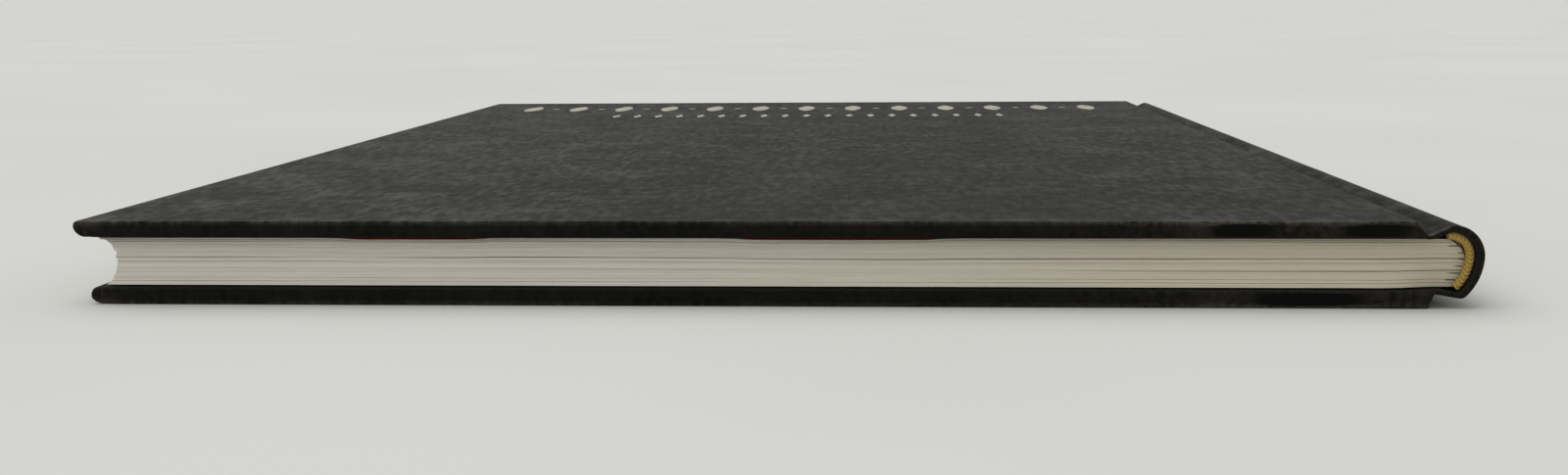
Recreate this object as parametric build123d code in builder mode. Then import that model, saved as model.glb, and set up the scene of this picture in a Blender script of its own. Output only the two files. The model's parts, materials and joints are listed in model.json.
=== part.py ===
"""Case-bound hardcover book in cloth, lying on its back cover.

Frame: +X from the fore-edge to the spine, +Y from head to tail, +Z up. The origin is the middle of
the bottom of the book's bounding box. Lengths are in millimetres and angles in degrees.
"""

import os
from collections import namedtuple
from math import asin, atan2, cos, hypot, sin, sqrt

from build123d import *

# Leaves and sections
leaf_width = 233.5
leaf_height = 300.0
section_count = 7
section_thickness = 1.16
spine_round = 2.0  # the middle section stands this far out of the shoulders
fold_bulge = 0.15  # each section's fold swells this far past the spine's curve
notch_depth = 2.4  # slit between two folds
notch_mouth = 0.16
text_lean = 1.2  # the front shoulder lies this much nearer to the fore-edge than the back one

# Sheets
cloth = 0.30
endpaper = 0.15
endpaper_gap = 0.10  # air between a pastedown and the flyleaf that faces it
mull = 0.30
lining = 0.15
glue_line = 0.05  # over the folds, under the mull
lining_margin = 0.9  # the lining stops this far short of the shoulders

# Boards and case
board_thickness = 2.40
head_square = 2.5  # the cover stands past the leaves at head and tail
fore_square = 2.6  # and at the fore-edge
cover_lean = 2.4  # the front cover lies this much nearer to the fore-edge than the back one
corner_round = 1.6
edge_round = 0.6  # worn cloth over the board's square edges
turn_in = 15.0
mitre_gap = 0.25  # seam where two turn-ins meet in a corner
mitre_angle = 45.0
mull_flap_width = 28.0

# French groove between board and spine
groove_width = 5.6  # board edge to shoulder
groove_bend = 0.4  # the cloth bends down this far past the board's edge
groove_slope = 1.8  # width of its slant from the bend to the groove's floor
groove_split = 0.3  # the covers' cloth ends this far down the slant
split_gap = 0.20
groove_round = 0.6

# Spine of the case
spine_gap = 1.5  # text block to the turned-in cloth of the spine
inlay_thickness = 0.80
bulge_rise = 1.4  # the spine is widest this far over the middle of its height
front_ridge_rise = 2.8  # top of the ridge over the text block's face
back_ridge_rise = 1.8
front_ridge_inset = 0.1  # the ridge stands this far past the shoulder
back_ridge_inset = 1.1
ridge_foot = 2.4  # foot of the ridge, this far short of the shoulder
ridge_round = 0.8
inlay_margin = 1.1  # the inlay stops this far short of the ridge

# Headbands
bead_diameter = 1.6
bead_clearance = 0.10  # bead to the turned-in cloth of the spine
bead_reach = 0.45  # the bead runs this far past the text block's front face
tape_margin = 0.9  # the tapes stop this far short of the shoulders
tape_thickness = 0.30
tape_clearance = 0.5

overrun = 1.0  # cuts run this far past what they cut

# Heights
text_thickness = section_count * section_thickness
inner_depth = 2 * endpaper + endpaper_gap  # text block's face to the turn-ins' face
wrap = max(cloth, mull)  # turn-ins and mull lie side by side under a pastedown
board_inner_depth = inner_depth + wrap
board_outer_depth = board_inner_depth + board_thickness
cover_depth = board_outer_depth + cloth
hinge_depth = 2 * endpaper + wrap + cloth  # text block's face to the groove's floor
back_z = cover_depth
front_z = back_z + text_thickness
middle_z = (back_z + front_z) / 2

# Lengths along the spine
cover_height = leaf_height + 2 * head_square
board_height = cover_height - 2 * cloth
mull_height = cover_height - 2 * turn_in

# Places across the book
spine_wall = 2 * cloth + inlay_thickness
spine_depth = spine_round + spine_gap + spine_wall
shoulder_x = (leaf_width + fore_square + cover_lean / 2 - spine_depth) / 2
fore_x = shoulder_x - leaf_width
spine_x = shoulder_x + spine_depth
bulge_z = middle_z + bulge_rise

# One side of the book: its sign, the text block's face, its shoulder, the edge where the cloth bends
# into the groove, the board's edge beside it, the cover's fore-edge and the top of the spine's ridge
BookSide = namedtuple("BookSide", "name sign face_z shoulder groove_edge board_edge fore_edge ridge")


def book_side(name, sign, face_z, ridge_inset, ridge_rise):
    shoulder = shoulder_x - sign * text_lean / 2
    board_edge = shoulder_x - groove_width - sign * cover_lean / 2
    groove_edge = board_edge + groove_bend
    fore_edge = fore_x - fore_square - sign * cover_lean / 2
    ridge = (shoulder + ridge_inset, face_z + sign * ridge_rise)
    return BookSide(name, sign, face_z, shoulder, groove_edge, board_edge, fore_edge, ridge)


front = book_side("front", 1, front_z, front_ridge_inset, front_ridge_rise)
back = book_side("back", -1, back_z, back_ridge_inset, back_ridge_rise)
sides = [front, back]


def height_at(side, depth):
    """Height at a depth counted outwards from the text block's face."""
    return side.face_z + side.sign * depth


def slant_point(side, run):
    """Point of the cloth's middle line on the groove's slant, at a run from its bend."""
    fall = (cover_depth - hinge_depth) * run / groove_slope
    return (side.groove_edge + run, height_at(side, cover_depth - cloth / 2 - fall))


# Arc of a spine's line in the XZ plane, with the angles of its start, on the front side, and its end
Round = namedtuple("Round", "x z radius start end")


def round_through(first, middle, last):
    """Arc through the front end, the middle and the back end of a spine."""
    ax, az = first[0] - middle[0], first[1] - middle[1]
    bx, bz = last[0] - middle[0], last[1] - middle[1]
    cross = 2 * (ax * bz - az * bx)
    x = (bz * (ax * ax + az * az) - az * (bx * bx + bz * bz)) / cross
    z = (ax * (bx * bx + bz * bz) - bx * (ax * ax + az * az)) / cross
    start = atan2(az - z, ax - x)
    end = atan2(bz - z, bx - x)
    return Round(middle[0] + x, middle[1] + z, hypot(x, z), start, end)


def round_from_ridge(side):
    """Arc of the case between a ridge and the spine's widest point, upright there."""
    width = spine_x - side.ridge[0]
    rise = side.ridge[1] - bulge_z
    radius = (width**2 + rise**2) / (2 * width)
    ridge_angle = atan2(rise, radius - width)
    start, end = (ridge_angle, 0) if side is front else (0, ridge_angle)
    return Round(spine_x - radius, bulge_z, radius, start, end)


text_round = round_through(
    (front.shoulder, front_z),
    (shoulder_x + spine_round, middle_z),
    (back.shoulder, back_z),
)
case_rounds = [round_from_ridge(side) for side in sides]


def round_point(circle, offset, angle):
    radius = circle.radius + offset
    return (circle.x + radius * cos(angle), circle.z + radius * sin(angle))


def round_point_at(circle, offset, z):
    radius = circle.radius + offset
    return (circle.x + sqrt(radius**2 - (z - circle.z) ** 2), z)


def round_points(circle, offset):
    """Start, middle and end of an arc at an offset from it."""
    angles = (circle.start, (circle.start + circle.end) / 2, circle.end)
    return [round_point(circle, offset, angle) for angle in angles]


def trimmed(rounds, margin):
    """The arcs of a spine's line, short of its two ends."""
    arcs = list(rounds)
    arcs[0] = arcs[0]._replace(start=arcs[0].start - margin / arcs[0].radius)
    arcs[-1] = arcs[-1]._replace(end=arcs[-1].end + margin / arcs[-1].radius)
    return arcs


def round_band(rounds, inner, outer, margin=0):
    """Outline of a band between two offsets from a spine's line, short of its ends."""
    arcs = trimmed(rounds, margin)
    with BuildLine() as outline:
        for circle in arcs:
            ThreePointArc(*round_points(circle, inner))
            ThreePointArc(*round_points(circle, outer))
        Line(round_points(arcs[0], inner)[0], round_points(arcs[0], outer)[0])
        Line(round_points(arcs[-1], inner)[-1], round_points(arcs[-1], outer)[-1])
    return outline.line


def text_spine_x(z):
    """The text block's spine curve, without the swell of the folds."""
    return round_point_at(text_round, 0, z)[0]


def finish(part, name):
    part.label = name
    export_step(part, f"parts/{name}.step")


os.makedirs("parts", exist_ok=True)

# Text block: folds of the sections at the spine, and the same curve hollow at the fore-edge
with BuildPart() as text_block:
    with BuildSketch(Plane.XZ):
        with BuildLine():
            corner = Line((front.shoulder - leaf_width, front_z), (front.shoulder, front_z)) @ 1
            for section in range(section_count):
                top_z = front_z - section * section_thickness
                bottom_z = top_z - section_thickness
                is_last = section == section_count - 1
                end_z = bottom_z if is_last else bottom_z + notch_mouth / 2
                fold_x = text_spine_x((top_z + bottom_z) / 2) + fold_bulge
                fold = ThreePointArc(
                    corner,
                    (fold_x, (top_z + bottom_z) / 2),
                    (text_spine_x(end_z), end_z),
                )
                corner = fold @ 1
                if not is_last:
                    next_z = bottom_z - notch_mouth / 2
                    slit = Polyline(
                        corner,
                        (text_spine_x(bottom_z) - notch_depth, bottom_z),
                        (text_spine_x(next_z), next_z),
                    )
                    corner = slit @ 1
            Line(corner, (back.shoulder - leaf_width, back_z))
            ThreePointArc(
                (back.shoulder - leaf_width, back_z),
                (fore_x + spine_round, middle_z),
                (front.shoulder - leaf_width, front_z),
            )
        make_face()
    extrude(amount=leaf_height / 2, both=True)
finish(text_block.part, "text_block")

# Flyleaves: the leaf on the text block, the fold at the shoulder and the strip under the groove
for side in sides:
    fold_x = side.shoulder - endpaper
    strip_x = side.groove_edge + split_gap
    with BuildPart() as flyleaf:
        with BuildSketch(Plane.XZ):
            with BuildLine():
                leaf_edge = Line(
                    (fold_x, height_at(side, 0)), (side.shoulder - leaf_width, height_at(side, 0))
                )
                Polyline(
                    leaf_edge @ 1,
                    (side.shoulder - leaf_width, height_at(side, endpaper)),
                    (strip_x, height_at(side, endpaper)),
                    (strip_x, height_at(side, 2 * endpaper)),
                    (fold_x, height_at(side, 2 * endpaper)),
                )
                ThreePointArc(
                    (fold_x, height_at(side, 2 * endpaper)),
                    (fold_x + endpaper, height_at(side, endpaper)),
                    leaf_edge @ 0,
                )
            make_face()
        extrude(amount=leaf_height / 2, both=True)
    finish(flyleaf.part, f"{side.name}_flyleaf")

# Mull: over the folds and on over both shoulders into the grooves
mull_inner = fold_bulge + glue_line
with BuildPart() as spine_mull:
    with BuildSketch(Plane.XZ):
        make_face(round_band([text_round], mull_inner, mull_inner + mull, margin=-endpaper))
        for side in sides:
            strip_x = side.groove_edge + split_gap
            strip_width = side.shoulder + mull_inner - strip_x
            with Locations((strip_x + strip_width / 2, height_at(side, 2 * endpaper + mull / 2))):
                Rectangle(strip_width, mull)
    extrude(amount=mull_height / 2, both=True)
finish(spine_mull.part, "spine_mull")

# Paper lining over the mull and the headbands' tapes
lining_inner = mull_inner + max(mull, tape_thickness)
with BuildPart() as spine_lining:
    with BuildSketch(Plane.XZ):
        make_face(round_band([text_round], lining_inner, lining_inner + lining, margin=lining_margin))
    extrude(amount=leaf_height / 2, both=True)
finish(spine_lining.part, "spine_lining")

# Head and tail bands: a bead on the ends of the folds, and the tape that carries it
bead_radius = bead_diameter / 2
bead_offset = -spine_wall - bead_clearance - bead_radius
bead_ends = (front_z + bead_reach, back_z)
bead_angles = [
    asin((end_z - bulge_z) / (circle.radius + bead_offset))
    for circle, end_z in zip(case_rounds, bead_ends)
]
bead_arcs = [
    case_rounds[0]._replace(start=bead_angles[0]),
    case_rounds[1]._replace(end=bead_angles[1]),
]
tape_height = (leaf_height - mull_height) / 2 - tape_clearance
for name, end in (("headband", -1), ("tailband", 1)):
    bead_plane = Plane.XZ.offset(-end * (leaf_height / 2 + bead_radius))
    with BuildPart() as band:
        with BuildLine(bead_plane) as bead_path:
            for circle in bead_arcs:
                ThreePointArc(*round_points(circle, bead_offset))
        with BuildSketch(bead_path.line ^ 0):
            Circle(bead_radius)
        sweep()
        with BuildSketch(bead_plane):
            tape_outer = mull_inner + tape_thickness
            make_face(round_band([text_round], mull_inner, tape_outer, margin=tape_margin))
        extrude(amount=end * (tape_height + bead_radius))
    finish(band.part, name)

# Card inlay in the spine of the case
with BuildPart() as spine_inlay:
    with BuildSketch(Plane.XZ):
        make_face(round_band(case_rounds, -cloth - inlay_thickness, -cloth, margin=inlay_margin))
    extrude(amount=board_height / 2, both=True)
finish(spine_inlay.part, "spine_inlay")


def groove_line(side):
    """Middle line of the cloth from the split in the groove's slant to the top of the ridge."""
    ridge = round_points(case_rounds[0], -cloth / 2)[0]
    if side is back:
        ridge = round_points(case_rounds[1], -cloth / 2)[-1]
    return [
        slant_point(side, groove_split + split_gap),
        slant_point(side, groove_slope),
        (side.shoulder - ridge_foot, height_at(side, hinge_depth - cloth / 2)),
        ridge,
    ]


# Spine cloth: over the inlay, down the ridges and along both grooves, turned in at head and tail
with BuildPart() as spine_cloth:
    with BuildSketch(Plane.XZ):
        with BuildLine() as spine_line:
            for side in sides:
                Polyline(*groove_line(side))
            for circle in case_rounds:
                ThreePointArc(*round_points(circle, -cloth / 2))
            for side in sides:
                for corner, radius in zip(groove_line(side)[1:], (groove_round, groove_round, ridge_round)):
                    fillet(spine_line.vertices().sort_by_distance(corner)[0], radius)
        trace(spine_line.line, cloth)
    extrude(amount=cover_height / 2, both=True)
    for end in (-1, 1):
        with BuildSketch(Plane.XZ.offset(end * cover_height / 2)):
            make_face(round_band(case_rounds, -spine_wall, -cloth / 2, margin=inlay_margin))
        extrude(amount=-end * cloth)
        with BuildSketch(Plane.XZ.offset(end * cover_height / 2)):
            make_face(round_band(case_rounds, -spine_wall, cloth - spine_wall, margin=inlay_margin))
            for side in sides:
                turned_z = height_at(side, hinge_depth - cloth)
                floor_width = side.shoulder - ridge_foot - side.groove_edge - groove_slope
                with Locations((side.shoulder - ridge_foot - floor_width / 2, turned_z)):
                    Rectangle(floor_width, 2 * cloth)
        extrude(amount=-end * turn_in)
finish(spine_cloth.part, "spine_cloth")


def board_plate(side, margin, inner, outer):
    """Plate in the place of a side's board, between two depths, with worn round corners."""
    plate_x = (side.fore_edge + margin + side.board_edge) / 2
    with BuildPart() as plate:
        with BuildSketch(Plane.XY.offset(height_at(side, inner))):
            with Locations((plate_x, 0)):
                Rectangle(side.board_edge - side.fore_edge - margin, cover_height - 2 * margin)
        extrude(amount=side.sign * (outer - inner))
        fillet(plate.edges().filter_by(Axis.Z).group_by(Axis.X)[0], corner_round - margin)
    return plate.part


for side in sides:
    window_x = side.fore_edge + turn_in
    flap_x = side.board_edge - mull_flap_width
    turned_depth = board_inner_depth - cloth

    # Board
    with BuildPart() as board:
        add(board_plate(side, cloth, board_inner_depth, board_outer_depth))
    finish(board.part, f"{side.name}_board")

    # Cover cloth: round the board, turned in on three edges, and down into the groove
    with BuildPart() as cover_cloth:
        add(board_plate(side, 0, turned_depth, cover_depth))
        rims = cover_cloth.faces().filter_by(Axis.Z).edges()
        fillet(rims - rims.group_by(Axis.X)[-1], edge_round)
        add(board_plate(side, cloth, board_inner_depth, board_outer_depth), mode=Mode.SUBTRACT)
        with BuildSketch(Plane.XY.offset(height_at(side, turned_depth))):
            window_width = side.board_edge + overrun - window_x
            with Locations((window_x + window_width / 2, 0)):
                Rectangle(window_width, mull_height)
            for end in (-1, 1):
                seam_end = turn_in + mitre_gap
                seam_x = side.fore_edge + (corner_round + seam_end) / 2
                seam_y = end * (cover_height - corner_round - seam_end) / 2
                with Locations(Location((seam_x, seam_y, 0), (0, 0, -end * mitre_angle))):
                    Rectangle((seam_end - corner_round) * sqrt(2), mitre_gap)
        extrude(amount=side.sign * cloth, mode=Mode.SUBTRACT)
        with BuildSketch(Plane.XZ):
            with BuildLine() as slant_line:
                Polyline(
                    (side.board_edge - edge_round, height_at(side, cover_depth - cloth / 2)),
                    slant_point(side, 0),
                    slant_point(side, groove_split),
                )
                fillet(slant_line.vertices().sort_by_distance(slant_point(side, 0))[0], edge_round)
            trace(slant_line.line, cloth)
        extrude(amount=cover_height / 2, both=True)
    finish(cover_cloth.part, f"{side.name}_cover_cloth")

    # Flap of the mull on the board's inner face
    with BuildPart() as mull_flap:
        with BuildSketch(Plane.XY.offset(height_at(side, board_inner_depth))):
            with Locations(((flap_x + side.groove_edge) / 2, 0)):
                Rectangle(side.groove_edge - flap_x, mull_height)
        extrude(amount=-side.sign * mull)
    finish(mull_flap.part, f"{side.name}_mull_flap")

    # Pastedown: over the turn-ins and the mull's flap, and down onto the board between them
    leaf_x = side.shoulder - leaf_width
    panel_x = (window_x + flap_x) / 2
    panel_width = flap_x - window_x
    with BuildPart() as pastedown:
        with BuildSketch(Plane.XY.offset(height_at(side, inner_depth - endpaper))):
            with Locations(((leaf_x + side.groove_edge) / 2, 0)):
                Rectangle(side.groove_edge - leaf_x, leaf_height)
        extrude(amount=side.sign * endpaper)
        with BuildSketch(Plane.XY.offset(height_at(side, inner_depth))):
            with Locations((panel_x, 0)):
                Rectangle(panel_width, mull_height)
        extrude(amount=side.sign * wrap)
        with BuildSketch(Plane.XY.offset(height_at(side, inner_depth - endpaper))):
            with Locations((panel_x, 0)):
                Rectangle(panel_width - 2 * endpaper, mull_height - 2 * endpaper)
        extrude(amount=side.sign * wrap, mode=Mode.SUBTRACT)
    finish(pastedown.part, f"{side.name}_pastedown")
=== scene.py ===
"""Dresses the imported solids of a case-bound book: cloth, boards, leaves, endpapers, bands, foil and gauze.

Frame: +X from the fore-edge to the spine, +Y from head to tail, +Z up. Lengths are in metres.
"""

import json
import math
import random

import bpy
import numpy as np
from bpy.props import FloatProperty, FloatVectorProperty, IntProperty, PointerProperty
from mathutils import Matrix, Vector, noise


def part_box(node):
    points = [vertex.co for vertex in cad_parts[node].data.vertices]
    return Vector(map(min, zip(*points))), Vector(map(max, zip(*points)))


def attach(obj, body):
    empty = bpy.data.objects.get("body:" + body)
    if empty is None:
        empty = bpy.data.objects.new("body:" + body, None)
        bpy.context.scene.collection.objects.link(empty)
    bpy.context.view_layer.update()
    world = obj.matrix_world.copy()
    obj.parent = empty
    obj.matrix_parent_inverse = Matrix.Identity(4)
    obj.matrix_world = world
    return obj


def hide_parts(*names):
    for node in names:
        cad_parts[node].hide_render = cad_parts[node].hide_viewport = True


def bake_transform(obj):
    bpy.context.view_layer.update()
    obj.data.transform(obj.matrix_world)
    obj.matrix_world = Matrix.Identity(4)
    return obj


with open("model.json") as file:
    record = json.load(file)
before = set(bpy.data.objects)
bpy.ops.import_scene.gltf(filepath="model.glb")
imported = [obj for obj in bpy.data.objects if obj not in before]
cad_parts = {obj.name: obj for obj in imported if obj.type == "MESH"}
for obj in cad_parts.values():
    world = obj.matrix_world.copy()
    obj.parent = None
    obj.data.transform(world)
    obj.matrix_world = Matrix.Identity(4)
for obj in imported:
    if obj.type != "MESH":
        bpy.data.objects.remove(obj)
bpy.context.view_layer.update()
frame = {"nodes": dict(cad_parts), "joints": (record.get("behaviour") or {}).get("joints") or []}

bl_info = {
    "name": "Case-bound book",
    "version": (1, 0, 0),
    "blender": (4, 5, 0),
    "location": "View3D > Sidebar > Book",
    "description": "Builds the cloth, leaves, endpapers, bands and foil of a hardcover book round its solids",
    "category": "Object",
}

# Picture in pixels, sensor in millimetres, nearest distance in metres, seeds of the draws and the waves
IMAGE_WIDTH = 1600
SENSOR_WIDTH = 36.0
CLIP_START = 0.01
SEED = 7
SEED_SHIFT = (3.7, 1.3, 2.9)

# Steps of the cloth's and the boards' meshes, in metres or as counts and shares
CORNER_STEPS = 4
GRADED_SHARES = (0.0, 0.014, 0.028, 0.042, 0.056, 0.07, 0.09, 0.13, 0.22, 0.36, 0.56, 0.78, 1.0)
BOARD_STEP = 0.0032
ROW_STEP = 0.0052
FINE_STEP = 0.00022
FINE_COUNT = 12
LEAST_STEPS = 4
ROUND_STEPS = 4
WALL_STEPS = 4
RIM_STEPS = 2 * ROUND_STEPS + WALL_STEPS - 1

# Steps of the other meshes; a stretch is its start, its end and its number of steps
HEAD_STRETCHES = ((0, 0.02, 8), (0.02, 0.975, 74), (0.975, 1, 20))
LEAF_SIDE_STEPS = 46
FLYLEAF_COLUMNS = 78
FLYLEAF_STRETCHES = ((0, 0.06, 10), (0.06, 0.94, 40), (0.94, 1, 10))
PASTE_COLUMNS = 70
PASTE_ROWS = 56
STRIP_COLUMNS = 24
CLOSE_STEPS = 5
BEAD_STEPS = 28
FRONT_BEAD_STEPS = 80
BACK_BEAD_STEPS = 100
TAPE_STEPS = 30
GAUZE_CURVE_STEPS = 24
GAUZE_FLAT_STEPS = 26
GAUZE_ROWS = 56

# Cloth: blur of its bends in points, largest round for its wall, waves per metre, drift and level of threads
BLUR_REACH = 3
LINE_BLUR = 1.0
RIDGE_BLUR = 2.2
ROUND_SHARE = 0.42
SWELL_SCALE = 26.0
RIPPLE_SCALE = 90.0
RIPPLE_SHARE = 0.5
DRIFT_THREADS = 4
THREAD_LEVEL = 0.65
THREAD_SWING = 0.35

# Worn corners: fall of the give down the cover, its share along the cover, start and slant of the fold
BRUISE_POWER = 2.3
BRUISE_ALONG = 0.6
FOLD_START = 0.6
FOLD_SLANT = 1.2

# Painted sheen over the cloth, lighter where the light falls on the covers: width of its fall, least share,
# what the places below add, and the turned-in share
PAINTED_SHEEN_WIDTH = 0.15
PAINTED_SHEEN_LEAST = 0.60
PAINTED_SHEEN_FORE = 0.68
PAINTED_SHEEN_TAIL = 0.30
PAINTED_SHEEN_SPINE = 0.20
# Painted highlight along the raised edges of the covers
PAINTED_EDGE_HIGHLIGHT = 0.9
TURNED_PAINTED_SHEEN = 0.05

# Wear of the cloth: strengths, reaches in metres, and where the edges' wear rises towards the spine
EDGE_WEAR = 0.30
GROOVE_WEAR = 0.9
RIDGE_WEAR = 0.35
TURNED_WEAR = 0.3
EDGE_REACH = 0.0007
GROOVE_REACH = 0.0004
RIDGE_REACH = 0.0006
CORNER_REACH = 0.006
SPINE_WEAR_RISE = (0.045, 0.085)

# Wear down a cover's rim, and the painted sheen that falls away down it as painted shade: places from its
# outer face (0) to its inner one (1), and shares there
RIM_WEAR = ((0, 0.12, 0.3, 0.85, 1), (1, 0.9, 0.32, 0.25, 0.45))
RIM_PAINTED_SHADE = ((0, 0.2, 1), (1, 0.08, 0.03))

# Rubbed patches: rise below the outer face, fall above the inner one, and their end in half lengths
RUB_TOP = (0.05, 0.25)
RUB_FOOT = (1.0, 0.8)
RUB_CORE = 1.4

# Leaves: waves in the block, reach of the sag from the head, and stretches where the lean and the painted
# shade towards the spine rise
LEAF_WAVES = 14
LAYER_WAVES = 2.2
SAG_REACH = 0.03
LEAN_RISE = (0.002, 0.012)
SPINE_SHADE_STRETCH = (-0.05, 0.12)

# Leaves' edges: chance and spread of a new fore-edge place, its waves along and up, waves across and along
FORE_CHANGE = 0.45
FORE_SPREAD = 1.5
FORE_WAVES = (11, 5)
FORE_WAVE_SHARE = 0.8
ROUGH_WAVES = (180, 40)
ROUGH_SHARE = 0.5
UNEVEN_STEP = 1.7

# Creases between two leaves: half height as a share of a leaf, and depth at the head, spine and fore-edge
CREASE_SHARE = 0.14
HEAD_CREASE = 0.00003
SPINE_CREASE = 0.0001
FORE_CREASE = 0.0002

# Slots between two sections: length, its change from slot to slot, rise towards the spine, and depth
SLOT_LENGTH = 0.8
SLOT_CHANGE = 0.5
SLOT_RISE = (1.4, 0.8)
SLOT_FLOOR = 0.0016

# Gaps that stand open: opening by the number of leaves below, the one that is short, breaks, mouth and depth
LONG_GAPS = {54: 0.45, 52: 0.25, 33: 1.0, 19: 0.85, 9: 0.3, 5: 0.35, 28: 0.2}
SHORT_GAP = 19
SHORT_GAP_RISE = (-0.07, 0.01)
BREAK_WAVES = (30, 9)
GAP_BREAK = (-0.5, 0.1)
GAP_MOUTH = 0.00012
GAP_FLOOR = 0.0013

# Free endpapers: flat part short of the fold, places on the fold, gap to the leaves, unevenness of the edge
FLYLEAF_FOLD = 0.004
FOLD_PLACES = (0.003, 0.002, 0.001, 0.0003)
PAPER_GAP = 0.00001
RAGGED_WAVES = 60
RAGGED_SHARE = 0.2
TAIL_INSET = 0.5

# Pasted endpapers: steps at the turn-ins and the gauze, and the strip across the hinge
STEP_REACH = 0.0006
STEP_WIDTH = 0.0004
STRIP_MARGIN = 0.0001
STRIP_START = 0.0006
STRIP_END = 0.0012
STRIP_LEVEL = 3.2

# Bands: slant, roundness and core of the wraps, plies of the thread, and the tape's ends, darker share and
# threads
HERRINGBONE = 1.6
WRAP_POWER = 0.7
BEAD_CORE = 0.70
PLY = 3
TAPE_MARGIN = 0.04
TAPE_DARK_SHARE = 0.3
TAPE_THREADS = 4000

# Foil: underside and top as shares of the film's height, and how pointed its leaves are
FILM_LEVELS = (0.1, 1.0)
LEAF_POINT = 0.85

# Stretches where the endpapers' edges show: how far each fades out and in, and the back's share
SLIVER_OUTSIDE = 0.004
SLIVER_INSIDE = 0.002
BACK_SLIVER = 0.75

# Where the near edges let the endpapers show, from the fore-edge end to the spine end
FRONT_SLIVERS = ((-0.0726, -0.0502), (-0.0026, 0.0291))
BACK_SLIVERS = ((-0.108, -0.099), (-0.081, -0.064), (-0.0356, -0.0229))

# Rubbed patches on the covers' head edges: middle, half length and strength
FRONT_RUBS = ((0.0810, 0.0056, 1.0), (0.1031, 0.0066, 0.9), (0.0450, 0.0030, 0.4))
BACK_RUBS = ((0.0925, 0.0100, 1.0), (0.0300, 0.0040, 0.35))


def named_size(name, description, default):
    """Length in metres."""
    return FloatProperty(name=name, description=description, default=default, unit="LENGTH", precision=5)


def named_share(name, description, default):
    """Share from 0 to 1."""
    return FloatProperty(name=name, description=description, default=default, subtype="FACTOR", min=0, max=1)


def named_angle(name, description, degrees):
    """Angle, given in degrees."""
    return FloatProperty(name=name, description=description, default=math.radians(degrees), subtype="ANGLE")


def named_count(name, description, default, least):
    """Whole number, not below the least."""
    return IntProperty(name=name, description=description, default=default, min=least)


def named_colour(name, description, default):
    """Linear colour."""
    return FloatVectorProperty(
        name=name,
        description=description,
        default=default,
        subtype="COLOR",
        min=0,
        max=1,
    )


class CaseSettings(bpy.types.PropertyGroup):
    """Cloth of the case."""

    thickness: named_size("Thickness", "Thickness of the cloth", 0.00025)
    edge_round: named_size("Edge round", "Radius of the cloth over the boards' edges", 0.00045)
    corner_round: named_size("Corner round", "Radius of the boards' corners in plan", 0.0005)
    turn_in: named_size("Turn-in", "Width of the cloth turned over the boards' edges", 0.015)
    front_groove_slope: named_size("Front groove slope", "Width of the front slant into the groove", 0.0019)
    back_groove_slope: named_size("Back groove slope", "Width of the back slant into the groove", 0.0009)
    groove_depth: named_size("Groove floor", "Groove's floor over the text block's face", 0.0009)
    hinge_depth: named_size("Hinge depth", "Turned-in cloth in the groove over the text block's face", 0.0003)
    front_ridge_foot: named_size("Front ridge foot", "Foot of the front ridge, short of the shoulder", 0.0031)
    back_ridge_foot: named_size("Back ridge foot", "Foot of the back ridge, short of the shoulder", 0.0023)
    foot_lift: named_size("Foot lift", "Rise of the ridge's foot over the groove's floor", 0.00025)
    front_ridge_rise: named_size("Front ridge", "Top of the front ridge over the text block's face", 0.0028)
    back_ridge_rise: named_size("Back ridge", "Top of the back ridge over the text block's face", 0.0018)
    front_ridge_inset: named_size("Front ridge inset", "Front ridge's place past the shoulder", 0.0001)
    back_ridge_inset: named_size("Back ridge inset", "Back ridge's place past the shoulder", 0.0011)
    bulge_rise: named_size("Bulge rise", "Spine's widest point over the middle of its height", 0.0014)
    spine_wall: named_size("Spine wall", "Cloth, inlay and turned-in cloth of the spine together", 0.0012)
    swell: named_size("Swell", "Height of the soft waves in the cloth over the boards", 0.00004)
    bruise: named_size("Bruise", "How far the worn corners give way", 0.0010)
    bruise_reach: named_size("Bruise reach", "Length of the worn part of a corner", 0.0030)
    splay: named_size("Splay", "How far the worn corners spread past the fore-edge", 0.0005)
    fold_inset: named_size("Fold inset", "Folded cloth at the corners, from the fore-edge", 0.0008)
    fold_depth: named_size("Fold depth", "Depth of the crease beside the folded cloth", 0.00030)
    fold_width: named_size("Fold width", "Half width of that crease", 0.00018)
    weave_pitch: named_size("Weave pitch", "Distance between two threads", 0.00040)
    cloth_colour: named_colour("Cloth", "Colour of the dyed threads", (0.0047, 0.0047, 0.0045))
    # Faded threads, and also the colour of the painted sheen on the covers
    faded_and_sheen_colour: named_colour("Faded cloth", "Colour of the threads' faded tops", (0.073, 0.074, 0.068))
    worn_colour: named_colour("Worn cloth", "Colour where the dye has worn off", (0.082, 0.071, 0.054))
    # Rubbed patches, and also the painted shade in the corner creases
    rub_colour: named_colour("Rubbed cloth", "Colour of the patches rubbed smooth", (0.0035, 0.0035, 0.0033))


class BoardSettings(bpy.types.PropertyGroup):
    """Boards in the covers."""

    step: named_size("Step", "Largest step of the boards' mesh", 0.004)
    colour: named_colour("Board", "Colour of the pressed grey board", (0.30, 0.28, 0.245))
    fleck_colour: named_colour("Flecks", "Colour of the dark fibres in the board", (0.16, 0.145, 0.12))


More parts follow.
